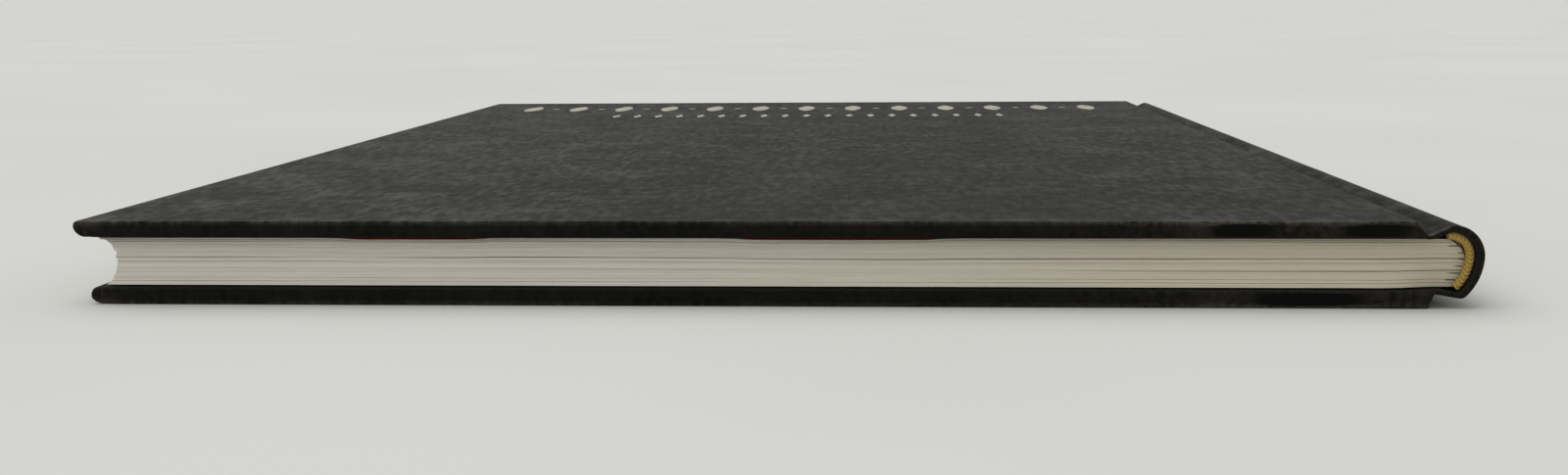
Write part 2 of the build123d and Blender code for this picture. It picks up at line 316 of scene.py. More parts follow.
class LeafSettings(bpy.types.PropertyGroup):
    """Sewn and trimmed leaves."""

    sections: named_count("Sections", "Folded and sewn sections", 7, 1)
    section_leaves: named_count("Leaves", "Leaves in a section", 8, 2)
    fold_bulge: named_size("Fold bulge", "Swell of each section's fold past the spine's curve", 0.00015)
    spine_round: named_size("Spine round", "Middle section past the shoulders", 0.0024)
    slot_depth: named_size("Slot depth", "Depth of the slots between two folds", 0.0017)
    slot_mouth: named_size("Slot mouth", "Opening of the slots between two folds", 0.00016)
    wave: named_size("Wave", "Height of the leaves' slow waves", 0.00020)
    sag: named_size("Sag", "How far the top leaves sink where the endpaper shows", 0.00028)
    lean: named_size("Lean", "How far the back leaves stand out at the head", 0.0016)
    jitter: named_size("Jitter", "Unevenness of the leaves' edges", 0.00006)
    fore_jitter: named_size("Fore-edge jitter", "Unevenness of the leaves at the fore-edge", 0.00012)
    fore_set: named_size("Fore-edge set", "Middle of the uneven fore-edge, short of the trimmed one", 0.00025)
    long_leaves: named_count("Long leaves", "Top leaves that stand out at the fore-edge", 2, 0)
    long_reach: named_size("Long reach", "How far those leaves stand out", 0.0006)
    paper_colour: named_colour("Paper", "Colour of the leaves", (0.80, 0.765, 0.68))
    edge_colour: named_colour("Trimmed edge", "Colour of the darker leaves' edges", (0.56, 0.515, 0.42))
    # Darker and warmer paper towards the spine: painted shade
    spine_shade_colour: named_colour("Painted spine shade", "Colour of the leaves towards the spine", (0.70, 0.635, 0.48))


class EndpaperSettings(bpy.types.PropertyGroup):
    """Dyed endpapers."""

    thickness: named_size("Thickness", "Thickness of an endpaper", 0.00014)
    mull_flap: named_size("Mull flap", "Width of the gauze under the pastedown", 0.028)
    inset: named_size("Inset", "Most that an endpaper lies short of the leaves' edges", 0.0016)
    colour: named_colour("Endpaper", "Colour of the dyed paper", (0.27, 0.012, 0.008))
    fibre_colour: named_colour("Fibres", "Colour of the paler fibres", (0.38, 0.035, 0.024))


class BandSettings(bpy.types.PropertyGroup):
    """Head and tail bands."""

    bead: named_size("Bead", "Diameter of the band's bead", 0.0015)
    clearance: named_size("Clearance", "Bead to the turned-in cloth of the spine", 0.00005)
    reach: named_angle("Reach", "Angle of the bead's front end about the spine's round", 96)
    wrap_pitch: named_size("Wrap pitch", "Distance between two wraps of thread", 0.00072)
    tape_height: named_size("Tape height", "Height of the tape that carries the bead", 0.0115)
    tape_thickness: named_size("Tape thickness", "Thickness of the tape", 0.0003)
    tape_offset: named_size("Tape offset", "Tape's place over the folds' curve", 0.0002)
    tape_drop: named_size("Tape drop", "Tape's edge below the leaves' edges", 0.0015)
    thread_colour: named_colour("Thread", "Colour of the golden thread", (0.62, 0.41, 0.075))
    # Painted shade between the wraps of the bead
    shade_colour: named_colour("Second thread", "Colour of the darker thread", (0.20, 0.115, 0.016))


class FoilSettings(bpy.types.PropertyGroup):
    """Stamped ornament on the front cover."""

    film: named_size("Film", "Height of the foil over the cloth", 0.00002)
    row_y: named_size("Row", "Middle of the leaves, from the cover's middle", 0.122)
    row_start: named_size("Row start", "First leaf of the row", -0.101)
    row_end: named_size("Row end", "Last leaf of the row", 0.091)
    leaf_count: named_count("Leaves", "Leaves in the row", 13, 2)
    leaf_length: named_size("Leaf length", "Length of a stamped leaf", 0.023)
    leaf_width: named_size("Leaf width", "Width of a stamped leaf", 0.0056)
    dot: named_size("Dot", "Diameter of the dots between the leaves", 0.0024)
    small_row_y: named_size("Small row", "Middle of the lozenges, from the cover's middle", 0.0885)
    small_row_start: named_size("Small row start", "First lozenge of the row", -0.066)
    small_row_end: named_size("Small row end", "Last lozenge of the row", 0.059)
    lozenge_count: named_count("Lozenges", "Lozenges in the small row", 19, 2)
    lozenge_length: named_size("Lozenge length", "Length of a lozenge", 0.012)
    lozenge_width: named_size("Lozenge width", "Width of a lozenge", 0.0026)
    colour: named_colour("Foil", "Colour of the pale foil", (0.385, 0.350, 0.280))
    bare_colour: named_colour("Worn foil", "Colour where the foil has worn off", (0.05, 0.047, 0.040))


class HiddenSettings(bpy.types.PropertyGroup):
    """Gauze and lining inside the case."""

    gauze_colour: named_colour("Gauze", "Colour of the gauze's threads", (0.62, 0.59, 0.51))
    gauze_gap_colour: named_colour("Glue", "Colour of the glue between the threads", (0.36, 0.31, 0.22))
    gauze_pitch: named_size("Gauze pitch", "Distance between two threads of the gauze", 0.0011)
    gauze_thickness: named_size("Gauze thickness", "Thickness of the gauze", 0.00022)
    gauze_offset: named_size("Gauze offset", "Gauze's middle over the folds' curve", 0.00035)
    gauze_depth: named_size("Gauze depth", "Gauze's middle in the groove over the text block's face", 0.00045)
    lining_colour: named_colour("Lining", "Colour of the kraft lining", (0.34, 0.22, 0.12))
    lining_fibre_colour: named_colour("Lining fibres", "Colour of its dark fibres", (0.20, 0.12, 0.06))


class StageSettings(bpy.types.PropertyGroup):
    """Floor, lights and camera."""

    camera_place: FloatVectorProperty(
        name="Camera",
        description="Place of the camera",
        default=(0.0202, -0.4108, 0.0523),
        subtype="TRANSLATION",
    )
    camera_yaw: named_angle("Yaw", "Camera's turn to the right", -3.6)
    camera_pitch: named_angle("Pitch", "Camera's tilt downwards", 8.83)
    camera_roll: named_angle("Roll", "Camera's turn about its own line of sight", -0.5)
    focal_pixels: FloatProperty(
        name="Focal length",
        description="Focal length in pixels of the photograph",
        default=1563,
        subtype="PIXEL",
    )
    floor_size: named_size("Floor", "Side of the floor", 80.0)
    floor_colour: named_colour("Floor", "Colour of the pale sheet", (0.66, 0.66, 0.635))
    floor_shade: named_colour("Floor shade", "Colour of the sheet's darker places", (0.635, 0.635, 0.61))
    world_colour: named_colour("World", "Colour of the light all round", (1.0, 1.0, 0.99))
    world_strength: named_share("World strength", "Strength of the light all round", 0.56)
    backdrop_strength: named_share("Backdrop", "Strength of the backdrop that the camera sees", 0.66)
    sky_strength: FloatProperty(
        name="Overhead",
        description="Strength of the broad overhead light",
        default=1.5,
        min=0,
    )
    sky_spread: named_angle("Spread", "Angle that the overhead light fills", 75)
    sky_place: FloatVectorProperty(
        name="Overhead from",
        description="Direction of the overhead light",
        default=(-0.30, 0.15, 0.90),
        subtype="DIRECTION",
    )


class BookSide:
    """One side of the book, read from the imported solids."""

    def __init__(self, name, up, slivers, rubs, outer_give, inner_give, firm_share):
        self.name = name
        self.up = up
        self.slivers = slivers
        self.rubs = rubs
        self.outer_give = outer_give
        self.inner_give = inner_give
        self.firm_share = firm_share
        self.body = f"{name}_cover"
        low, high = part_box(f"{name}_cover_cloth")
        leaf_low, leaf_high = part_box(f"{name}_flyleaf")
        paste_low, paste_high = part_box(f"{name}_pastedown")
        text_low, text_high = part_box("text_block")
        faces = (high.z, low.z, paste_low.z, text_high.z)
        if up < 0:
            faces = (low.z, high.z, paste_high.z, text_low.z)
        outer_z, turned_z, paste_z, self.face_z = faces
        self.outer_depth = abs(outer_z - self.face_z)
        self.turned_depth = abs(turned_z - self.face_z)
        self.paste_depth = abs(paste_z - self.face_z)
        self.sunk_depth = self.paste_depth + (paste_high.z - paste_low.z)
        self.fore_edge = low.x
        self.head, self.tail = low.y, high.y
        self.groove_edge = paste_high.x
        self.board_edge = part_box(f"{name}_board")[1].x
        self.shoulder = leaf_high.x
        self.leaf_edge = leaf_low.x
        self.leaf_head, self.leaf_tail = leaf_low.y, leaf_high.y
        joint = next(j for j in frame["joints"] if j["child"] == self.body)
        self.hinge = Vector(joint["pos_m"])

    def own(self, settings, name):
        """This side's value of a size that front and back have apart."""
        return getattr(settings, f"{self.name}_{name}")

    def at(self, depth):
        """Height at a depth counted outwards from the text block's face."""
        return self.face_z + self.up * depth

    def depth_share(self, z):
        """0 at the cover's outer face, 1 at its turned-in cloth."""
        return (self.outer_depth - self.up * (z - self.face_z)) / (self.outer_depth - self.turned_depth)


FRONT = BookSide("front", 1, FRONT_SLIVERS, FRONT_RUBS, outer_give=0.5, inner_give=1.2, firm_share=0.3)
BACK = BookSide("back", -1, BACK_SLIVERS, BACK_RUBS, outer_give=1.3, inner_give=0.6, firm_share=0.5)
SIDES = (FRONT, BACK)
SPINE_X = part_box("spine_cloth")[1].x
TEXT_LOW, TEXT_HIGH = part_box("text_block")
TEXT_THICK = FRONT.face_z - BACK.face_z
MIDDLE_Z = (FRONT.face_z + BACK.face_z) / 2


def smooth(low, high, value):
    """0 before low, 1 after high, and a smooth rise between."""
    share = np.clip((value - low) / (high - low), 0, 1)
    return share * share * (3 - 2 * share)


def waves(points, seed, scale=1.0):
    """Soft noise from -1 to 1 at each point, with waves of about 1 / scale."""
    shift = Vector([seed * step for step in SEED_SHIFT])
    return np.array([noise.noise(Vector(point) * scale + shift) for point in points])


def circle_through(first, middle, last):
    """Middle and radius of the circle through three points of the XZ plane."""
    rows = np.array([np.subtract(first, middle), np.subtract(last, middle)])
    centre = np.linalg.solve(rows, (rows**2).sum(axis=1) / 2)
    return np.add(middle, centre), float(np.hypot(*centre))


def straight(first, last, count):
    """Points from first towards last, without the last one."""
    steps = np.linspace(0, 1, count, endpoint=False)[:, None]
    return np.array(first) + steps * np.subtract(last, first)


def between(low, high, value, outside, inside):
    """1 between low and high, 0 away from them, with a smooth rise from outside to inside each."""
    return smooth(low - outside, low + inside, value) * smooth(high + outside, high - inside, value)


def in_rows(x, y, z):
    """Points as rows, from three arrays or numbers."""
    return np.stack([np.ravel(part) for part in np.broadcast_arrays(x, y, z)], axis=1)


def travelled(line):
    """Length of a line from its start to each of its points."""
    return np.concatenate([[0], np.cumsum(np.linalg.norm(np.diff(line, axis=0), axis=1))])


def on_circle(centre, radius, angles):
    """Points of the XZ plane at the given angles of a circle."""
    return np.array(centre) + radius * np.stack([np.cos(angles), np.sin(angles)], axis=1)


def make_piece(name, vertices, faces, material, **attributes):
    """Object from vertices and faces, with a float or vector attribute for each named array."""
    mesh = bpy.data.meshes.new(name)
    mesh.from_pydata([tuple(map(float, v)) for v in vertices], [], faces)
    for key, values in attributes.items():
        values = np.asarray(values, dtype=np.float32)
        kind, field = ("FLOAT_VECTOR", "vector") if values.ndim == 2 else ("FLOAT", "value")
        mesh.attributes.new(key, kind, "POINT").data.foreach_set(field, values.ravel())
    mesh.materials.append(material)
    mesh.shade_smooth()
    mesh.validate()
    piece = bpy.data.objects.new(name, mesh)
    bpy.context.scene.collection.objects.link(piece)
    return piece


def flipped(faces):
    """The faces turned to their other side."""
    return [tuple(reversed(face)) for face in faces]


def grid_faces(columns, rows):
    """Faces of a grid whose vertices are counted column by column."""
    corners = [i * rows + j for i in range(columns - 1) for j in range(rows - 1)]
    return [(corner, corner + rows, corner + rows + 1, corner + 1) for corner in corners]


def ring_faces(base, count, rings):
    """Faces between closed rings of vertices that follow each other from base on."""
    faces = []
    for start in range(base, base + (rings - 1) * count, count):
        for k in range(count):
            after = (k + 1) % count
            faces.append((start + k, start + after, start + count + after, start + count + k))
    return faces


def tube_faces(base, count, rings):
    """Faces of a tube of rings, with a cap on its first and on its last ring."""
    last = base + (rings - 1) * count
    caps = [tuple(reversed(range(base, base + count))), tuple(range(last, last + count))]
    return ring_faces(base, count, rings) + caps


def thicken(piece, thickness, offset):
    """Gives a sheet its thickness, to the inside at an offset of -1 and to both sides at 0."""
    solid = piece.modifiers.new("thickness", "SOLIDIFY")
    solid.thickness = thickness
    solid.offset = offset
    evaluated = piece.evaluated_get(bpy.context.evaluated_depsgraph_get())
    mesh = bpy.data.meshes.new_from_object(evaluated)
    piece.modifiers.clear()
    flat = piece.data
    piece.data = mesh
    bpy.data.meshes.remove(flat)
    mesh.name = piece.name


def sharpen(piece, degrees):
    """Shades edges sharp where their faces meet at more than an angle."""
    piece.data.set_sharp_from_angle(angle=math.radians(degrees))


def refinish(node, material):
    """Gives a carried-over solid its finish."""
    materials = frame["nodes"][node].data.materials
    materials.clear()
    materials.append(material)


class Finish:
    """A procedural material, with the few node moves that the recipes below need."""

    def __init__(self, name):
        self.material = bpy.data.materials.new(name)
        self.material.use_nodes = True
        self.tree = self.material.node_tree
        self.shader = self.tree.nodes["Principled BSDF"]

    def node(self, kind, **settings):
        made = self.tree.nodes.new(kind)
        for key, value in settings.items():
            setattr(made, key, value)
        return made

    def feed(self, socket, value):
        """Links a socket to another, or sets its number or colour."""
        if isinstance(value, bpy.types.NodeSocket):
            self.tree.links.new(value, socket)
        elif isinstance(value, (int, float)):
            socket.default_value = value
        else:
            colour = tuple(value)
            socket.default_value = colour + (1.0,) if socket.type == "RGBA" else colour

    def set(self, **values):
        """Sets or links the shader's sockets, named in small letters with underscores."""
        for socket in self.shader.inputs:
            key = socket.name.lower().replace(" ", "_")
            if key in values:
                self.feed(socket, values.pop(key))
        if values:
            raise KeyError(f"no such socket: {sorted(values)}")
        return self.material

    def math(self, operation, *values):
        made = self.node("ShaderNodeMath", operation=operation)
        for socket, value in zip(made.inputs, values):
            self.feed(socket, value)
        return made.outputs[0]

    def weighed(self, *pairs, base=0.0):
        """Sum of values times their weights, on top of a base."""
        total = base
        for value, weight in pairs:
            total = self.math("MULTIPLY_ADD", value, weight, total)
        return total

    def place(self):
        return self.node("ShaderNodeTexCoord").outputs["Object"]

    def attribute(self, name, output="Fac"):
        return self.node("ShaderNodeAttribute", attribute_name=name).outputs[output]

    def axes(self, vector):
        made = self.node("ShaderNodeSeparateXYZ")
        self.feed(made.inputs[0], vector)
        return made.outputs

    def noise(self, vector, scale, detail=2.0, roughness=0.5):
        """Soft noise from 0 to 1, at one scale or at one for each axis."""
        if isinstance(scale, tuple):
            stretched = self.node("ShaderNodeVectorMath", operation="MULTIPLY")
            self.feed(stretched.inputs[0], vector)
            self.feed(stretched.inputs[1], scale)
            vector, scale = stretched.outputs[0], 1.0
        made = self.node("ShaderNodeTexNoise")
        values = {"Vector": vector, "Scale": scale, "Detail": detail, "Roughness": roughness}
        for socket, value in values.items():
            self.feed(made.inputs[socket], value)
        return made.outputs["Fac"]

    def span(self, value, low, high):
        """0 at low, 1 at high, with a smooth rise between."""
        made = self.node("ShaderNodeMapRange", interpolation_type="SMOOTHSTEP")
        for socket, number in zip(("Value", "From Min", "From Max"), (value, low, high)):
            self.feed(made.inputs[socket], number)
        return made.outputs["Result"]

    def mix(self, share, first, second):
        """Mix of two colours, by the numbers of the mix node's colour sockets."""
        made = self.node("ShaderNodeMix", data_type="RGBA")
        for index, value in ((0, share), (6, first), (7, second)):
            self.feed(made.inputs[index], value)
        return made.outputs[2]

    def bump(self, height, distance, strength=1.0):
        made = self.node("ShaderNodeBump")
        for socket, value in (("Height", height), ("Distance", distance), ("Strength", strength)):
            self.feed(made.inputs[socket], value)
        return made.outputs["Normal"]


def thread_waves(finish, coordinate, pitch):
    """Cosine along a coordinate, with a crest or a trough on each thread."""
    return finish.math("COSINE", finish.math("MULTIPLY", coordinate, math.pi / pitch))


def plain_weave(finish, across, along, pitch):
    """Height of threads that go over and under each other by turns, from 0 to about 1."""
    warp = thread_waves(finish, across, pitch)
    weft = thread_waves(finish, along, pitch)
    crossing = finish.math("MULTIPLY", warp, weft)
    tops = []
    for threads, swing in ((warp, THREAD_SWING), (weft, -THREAD_SWING)):
        level = finish.weighed((crossing, swing), base=THREAD_LEVEL)
        tops.append(finish.math("MULTIPLY", finish.math("ABSOLUTE", threads), level))
    return finish.math("MAXIMUM", *tops)


def book_cloth_finish(case):
    """Black book cloth: plain weave with slubs, faded mottling with painted sheen and painted edge
    highlights, painted shade down the rims and in the corner creases, worn edges and patches rubbed smooth.
    """
    finish = Finish("book_cloth")
    sheet = finish.attribute("sheet", "Vector")
    across, along, _ = finish.axes(sheet)
    drift = DRIFT_THREADS * case.weave_pitch
    across = finish.weighed((finish.noise(sheet, scale=70.0, detail=1.0), drift), base=across)
    along = finish.weighed((finish.noise(sheet, scale=55.0, detail=1.0), drift), base=along)
    weave = plain_weave(finish, across, along, case.weave_pitch)
    weft_slub = finish.noise(sheet, scale=(70.0, 1700.0, 1.0))
    warp_slub = finish.noise(sheet, scale=(480.0, 170.0, 1.0), detail=5.0, roughness=0.7)
    height = finish.weighed((finish.math("MAXIMUM", weft_slub, warp_slub), 1.2), base=weave)
    mottle = finish.noise(sheet, scale=45.0, detail=5.0, roughness=0.65)
    fleck = finish.noise(sheet, scale=800.0, detail=3.0, roughness=0.6)
    tone = finish.weighed((mottle, 0.8), (warp_slub, 1.2), (weft_slub, 0.5))
    # Faded mottling, scaled by the painted sheen that stands in for the light on the covers
    dusty_and_sheen = finish.math("MULTIPLY", finish.span(tone, low=1.05, high=1.65), finish.attribute("fade"))
    colour = finish.mix(dusty_and_sheen, case.cloth_colour, case.faded_and_sheen_colour)
    patchy = finish.weighed((fleck, 0.7), (mottle, 0.5))
    bare = finish.math("MULTIPLY", finish.attribute("wear"), finish.span(patchy, low=0.42, high=0.75))
    bare = finish.math("MULTIPLY", bare, finish.span(height, low=0.0, high=1.6))
    colour = finish.mix(bare, colour, case.worn_colour)
    # Rubbed patches, and the corner creases painted darker as shade
    rubbed = finish.span(finish.weighed((fleck, 0.8), base=finish.attribute("rub")), low=0.7, high=1.1)
    return finish.set(
        base_color=finish.mix(rubbed, colour, case.rub_colour),
        roughness=finish.weighed((mottle, 0.2), (rubbed, -0.25), base=0.58),
        specular_ior_level=0.04,
        sheen_weight=0.08,
        sheen_roughness=0.4,
        sheen_tint=(0.8, 0.8, 0.76),
        normal=finish.bump(height, distance=0.00006, strength=finish.weighed((rubbed, -0.85), base=1.0)),
    )


def greyboard_finish(board):
    """Pressed grey board with flecks of dark fibre and a soft grain."""
    finish = Finish("greyboard")
    place = finish.place()
    fleck = finish.noise(place, scale=1400.0, detail=3.0, roughness=0.7)
    cloudy = finish.noise(place, scale=90.0, detail=3.0)
    flecked = finish.span(fleck, low=0.45, high=0.72)
    share = finish.math("MULTIPLY", flecked, finish.span(cloudy, low=0.2, high=0.7))
    layers = finish.noise(place, scale=(60.0, 60.0, 5200.0))
    return finish.set(
        base_color=finish.mix(share, board.colour, board.fleck_colour),
        roughness=finish.weighed((cloudy, 0.15), base=0.8),
        specular_ior_level=0.25,
        normal=finish.bump(finish.math("ADD", fleck, layers), distance=0.00006, strength=0.6),
    )


def page_finish(leaf):
    """Cream paper, darker and warmer towards the spine as painted shade: a random tone for each leaf, painted
    shade on the floors of the open gaps and slots, and fine streaks along the trimmed edges.
    """
    finish = Finish("page_paper")
    place = finish.place()
    streak = finish.noise(place, scale=(26.0, 26.0, 5200.0), detail=3.0, roughness=0.65)
    fine = finish.noise(place, scale=(160.0, 160.0, 11000.0))
    # Random tone for each leaf, painted shade on the floors of the open gaps and slots, and streaks
    shade = finish.weighed((finish.attribute("tint"), 0.22), (streak, 0.5))
    across = finish.axes(place)[0]
    # Painted shade towards the spine
    paper = finish.mix(finish.span(across, *SPINE_SHADE_STRETCH), leaf.paper_colour, leaf.spine_shade_colour)
    return finish.set(
        base_color=finish.mix(finish.span(shade, low=0.15, high=0.75), paper, leaf.edge_colour),
        roughness=finish.weighed((fine, 0.15), base=0.78),
        specular_ior_level=0.3,
        normal=finish.bump(finish.math("ADD", streak, fine), distance=0.00007, strength=0.8),
    )


def endpaper_finish(endpaper):
    """Dyed endpaper with paler fibres and a fine tooth."""
    finish = Finish("endpaper_red")
    sheet = finish.attribute("sheet", "Vector")
    fibre = finish.noise(sheet, scale=(900.0, 2600.0, 1.0), detail=3.0, roughness=0.7)
    cloudy = finish.noise(sheet, scale=30.0, detail=4.0, roughness=0.6)
    fibrous = finish.span(fibre, low=0.42, high=0.75)
    share = finish.math("MULTIPLY", fibrous, finish.span(cloudy, low=0.25, high=0.7))
    return finish.set(
        base_color=finish.mix(share, endpaper.colour, endpaper.fibre_colour),
        roughness=finish.weighed((cloudy, 0.2), base=0.68),
        specular_ior_level=0.15,
        normal=finish.bump(fibre, distance=0.00004, strength=0.5),
    )


def band_finish(band):
    """Golden thread wound over a core, darker between the wraps as painted shade, with the twist of its
    strands.
    """
    finish = Finish("band_thread")
    turns = finish.math("MULTIPLY", finish.attribute("twist"), math.pi)
    ply = finish.math("ABSOLUTE", finish.math("SINE", turns))
    fuzz = finish.noise(finish.place(), scale=5200.0)
    # Painted shade between the wraps, by the depth in the wrap
    share = finish.weighed((finish.attribute("strand"), 0.6), (fuzz, 0.4))
    return finish.set(
        base_color=finish.mix(share, band.thread_colour, band.shade_colour),
        roughness=finish.weighed((fuzz, 0.2), base=0.45),
        sheen_weight=0.3,
        sheen_roughness=0.4,
        normal=finish.bump(finish.math("ADD", ply, fuzz), distance=0.00003, strength=0.7),
    )


def foil_finish(foil):
    """Pale pressed foil with a fine grain, worn off in places."""
    finish = Finish("pale_foil")
    place = finish.place()
    grain = finish.noise(place, scale=2300.0)
    patch = finish.noise(place, scale=260.0, detail=3.0, roughness=0.65)
    bare = finish.span(finish.weighed((grain, 0.5), (patch, 0.7)), low=0.64, high=0.76)
    return finish.set(
        base_color=finish.mix(bare, foil.colour, foil.bare_colour),
        metallic=0.35,
        roughness=finish.weighed((grain, 0.3), base=0.3),
        normal=finish.bump(grain, distance=0.00005, strength=0.6),
    )


def gauze_finish(hidden, attribute):
    """Open starched gauze with glue between its threads, laid out by an attribute or by place."""
    finish = Finish("mull_gauze")
    place = finish.attribute(attribute, "Vector") if attribute else finish.place()
    across, along, _ = finish.axes(place)
    warp = finish.math("ABSOLUTE", thread_waves(finish, across, hidden.gauze_pitch))
    weft = finish.math("ABSOLUTE", thread_waves(finish, along, hidden.gauze_pitch))
    fuzz = finish.noise(place, scale=1800.0, detail=3.0)
    threads = finish.weighed((fuzz, 0.2), base=finish.math("MAXIMUM", warp, weft))
    share = finish.span(threads, low=0.72, high=0.98)
    return finish.set(
        base_color=finish.mix(share, hidden.gauze_gap_colour, hidden.gauze_colour),
        roughness=finish.weighed((fuzz, 0.2), base=0.7),
        normal=finish.bump(finish.math("ADD", share, fuzz), distance=0.00012, strength=0.8),
    )


def lining_finish(hidden):
    """Kraft lining with long fibres."""
    finish = Finish("lining_paper")
    place = finish.place()
    fibre = finish.noise(place, scale=(1900.0, 240.0, 1900.0), detail=3.0, roughness=0.7)
    cloudy = finish.noise(place, scale=60.0, detail=3.0)
    share = finish.span(fibre, low=0.4, high=0.75)
    return finish.set(
        base_color=finish.mix(share, hidden.lining_colour, hidden.lining_fibre_colour),
        roughness=finish.weighed((cloudy, 0.2), base=0.72),
        normal=finish.bump(fibre, distance=0.00005, strength=0.6),
    )


def floor_finish(stage):
    """Pale sheet with faint clouds and soft creases."""
    finish = Finish("pale_sheet")
    place = finish.place()
    cloudy = finish.noise(place, scale=5.0)
    crease = finish.noise(place, scale=(3.0, 9.0, 1.0), detail=3.0, roughness=0.4)
    return finish.set(
        base_color=finish.mix(finish.span(cloudy, low=0.3, high=0.7), stage.floor_colour, stage.floor_shade),
        roughness=finish.weighed((cloudy, 0.1), base=0.85),
        specular_ior_level=0.1,
        normal=finish.bump(crease, distance=0.004, strength=0.25),
    )


def case_circle(side, case):
    """Circle of the spine's cloth between a ridge and the widest point, with the ridge's angle."""
    bulge_z = MIDDLE_Z + case.bulge_rise
    width = SPINE_X - side.shoulder - side.own(case, "ridge_inset")
    rise = side.at(side.own(case, "ridge_rise")) - bulge_z
    radius = (width**2 + rise**2) / (2 * width)
    return (SPINE_X - radius, bulge_z), radius, math.atan2(rise, radius - width)


def graded_steps(case):
    """Distances from a rounded edge inwards: close round the corner, wider towards the turn-in's edge."""
    corner = case.corner_round - case.edge_round
    rest = case.turn_in - case.corner_round
    steps = [corner * step / CORNER_STEPS for step in range(CORNER_STEPS)]
    return steps + [corner + rest * share for share in GRADED_SHARES]


def even_steps(low, high, step):
    """Places from low to high, without both ends."""
    return list(np.linspace(low, high, max(2, round((high - low) / step)) + 1)[1:-1])


def blurred(points, first, blur):
    """Rounds off a line's corners from the given point on, and leaves both ends in place."""
    reach = math.ceil(BLUR_REACH * blur)
    kernel = np.exp(-0.5 * (np.arange(-reach, reach + 1) / blur) ** 2)
    kernel /= kernel.sum()
    padded = np.pad(points, ((reach, reach), (0, 0)), mode="edge")
    soft = np.stack([np.convolve(padded[:, k], kernel, mode="valid") for k in (0, 1)], axis=1)
    index = np.arange(len(points))
    share = smooth(first, first + reach, index) * smooth(len(points) - 1, len(points) - 1 - 2 * reach, index)
    return points + share[:, None] * (soft - points)


def cloth_lines(side, case):
    """Outer and inner line of the case's cloth, from the fore-edge to mid-spine, matched point by point."""
    centre, radius, ridge_angle = case_circle(side, case)
    start = side.fore_edge + case.edge_round
    graded = [start + step for step in graded_steps(case)]
    fine_start = side.groove_edge - FINE_COUNT * FINE_STEP
    board_x = graded + even_steps(graded[-1], fine_start, BOARD_STEP)
    board_x += list(np.linspace(fine_start, side.groove_edge, FINE_COUNT, endpoint=False))
    slant_x = side.groove_edge + side.own(case, "groove_slope")
    foot_x = side.shoulder - side.own(case, "ridge_foot")
    angles = np.linspace(ridge_angle, 0, round(radius * abs(ridge_angle) / FINE_STEP))
    arc = on_circle(centre, radius, angles)
    inner_arc = on_circle(centre, radius - case.spine_wall, angles)
    corners = [
        (side.groove_edge, side.at(side.outer_depth)),
        (slant_x, side.at(case.groove_depth)),
        (foot_x, side.at(case.groove_depth + case.foot_lift)),
        arc[0],
    ]
    inner_corners = [
        (side.groove_edge, side.at(side.turned_depth)),
        (slant_x, side.at(case.hinge_depth)),
        (foot_x, side.at(case.hinge_depth)),
        inner_arc[0],
    ]
    counts = [max(LEAST_STEPS, round(math.dist(*ends) / FINE_STEP)) for ends in zip(corners, corners[1:])]
    foot = len(board_x) + sum(counts[:-1])
    lines = []
    for depth, turns, curve in (
        (side.outer_depth, corners, arc),
        (side.turned_depth, inner_corners, inner_arc),
    ):
        line = [(x, side.at(depth)) for x in board_x]
        for first, last, count in zip(turns, turns[1:], counts):
            line += list(straight(first, last, count))
        line = blurred(np.array(line + list(curve)), len(board_x) - FINE_COUNT, LINE_BLUR)
        lines.append(blurred(line, foot, RIDGE_BLUR))
    return *lines, len(graded)


def corner_fold(points, side, case, edge):
    """Share of the crease beside the cloth folded over a corner: 1 in its middle."""
    slant = FOLD_START + FOLD_SLANT * side.depth_share(points[:, 2])
    fold_x = side.fore_edge + case.fold_inset * slant
    at_edge = np.exp(-((points[:, 1] - edge) / case.edge_round) ** 2)
    return at_edge * np.exp(-(((points[:, 0] - fold_x) / case.fold_width) ** 2))


def give_way(points, side, case):
    """Moves points near the worn fore-edge corners inwards, as the bruised board has gone."""
    share = side.depth_share(points[:, 2])
    firm = side.firm_share
    give = side.outer_give * np.clip(1 - share / firm, 0, 1) ** BRUISE_POWER
    give = give + side.inner_give * np.clip((share - firm) / (1 - firm), 0, 1) ** BRUISE_POWER
    for edge, inward in ((side.head, 1), (side.tail, -1)):
        away = np.hypot(points[:, 0] - side.fore_edge, points[:, 1] - edge)
        near = np.exp(-((away / case.bruise_reach) ** 2))
        amount = case.bruise * give * near
        fold = case.fold_depth * corner_fold(points, side, case, edge)
        points[:, 0] += amount - case.splay * near
        points[:, 1] += inward * (BRUISE_ALONG * amount + fold)
    return points


def cloth_swell(plan, case):
    """Soft waves of the cloth over the boards, all on the inner side of the boards' faces."""
    ripples = RIPPLE_SHARE * waves(plan, seed=2, scale=RIPPLE_SCALE)
    return case.swell * (waves(plan, seed=1, scale=SWELL_SCALE) + ripples - (1 + RIPPLE_SHARE))


def round_corners(x, y, side, case):
    """Rounds the outer face's fore-edge corners in plan, and gives the way that their rim faces."""
    last = x.shape[1] - 1
    corner = case.corner_round - case.edge_round
    pivot = side.fore_edge + case.corner_round
    facing = {}
    for i in range(CORNER_STEPS + 1):
        for j in range(CORNER_STEPS + 1):
            p = 1 - i / CORNER_STEPS
            q = 1 - j / CORNER_STEPS
            reach = max(p, q)
            if reach == 0:
                continue
            angle = math.pi / 4 * q / p if p >= q else math.pi / 2 - math.pi / 4 * p / q
            for row, edge, sign in ((j, side.head, 1), (last - j, side.tail, -1)):
                x[i, row] = pivot - corner * reach * math.cos(angle)
                y[i, row] = edge + sign * (case.corner_round - corner * reach * math.sin(angle))
                if reach == 1:
                    facing[i, row] = (-math.cos(angle), -sign * math.sin(angle))
    return facing


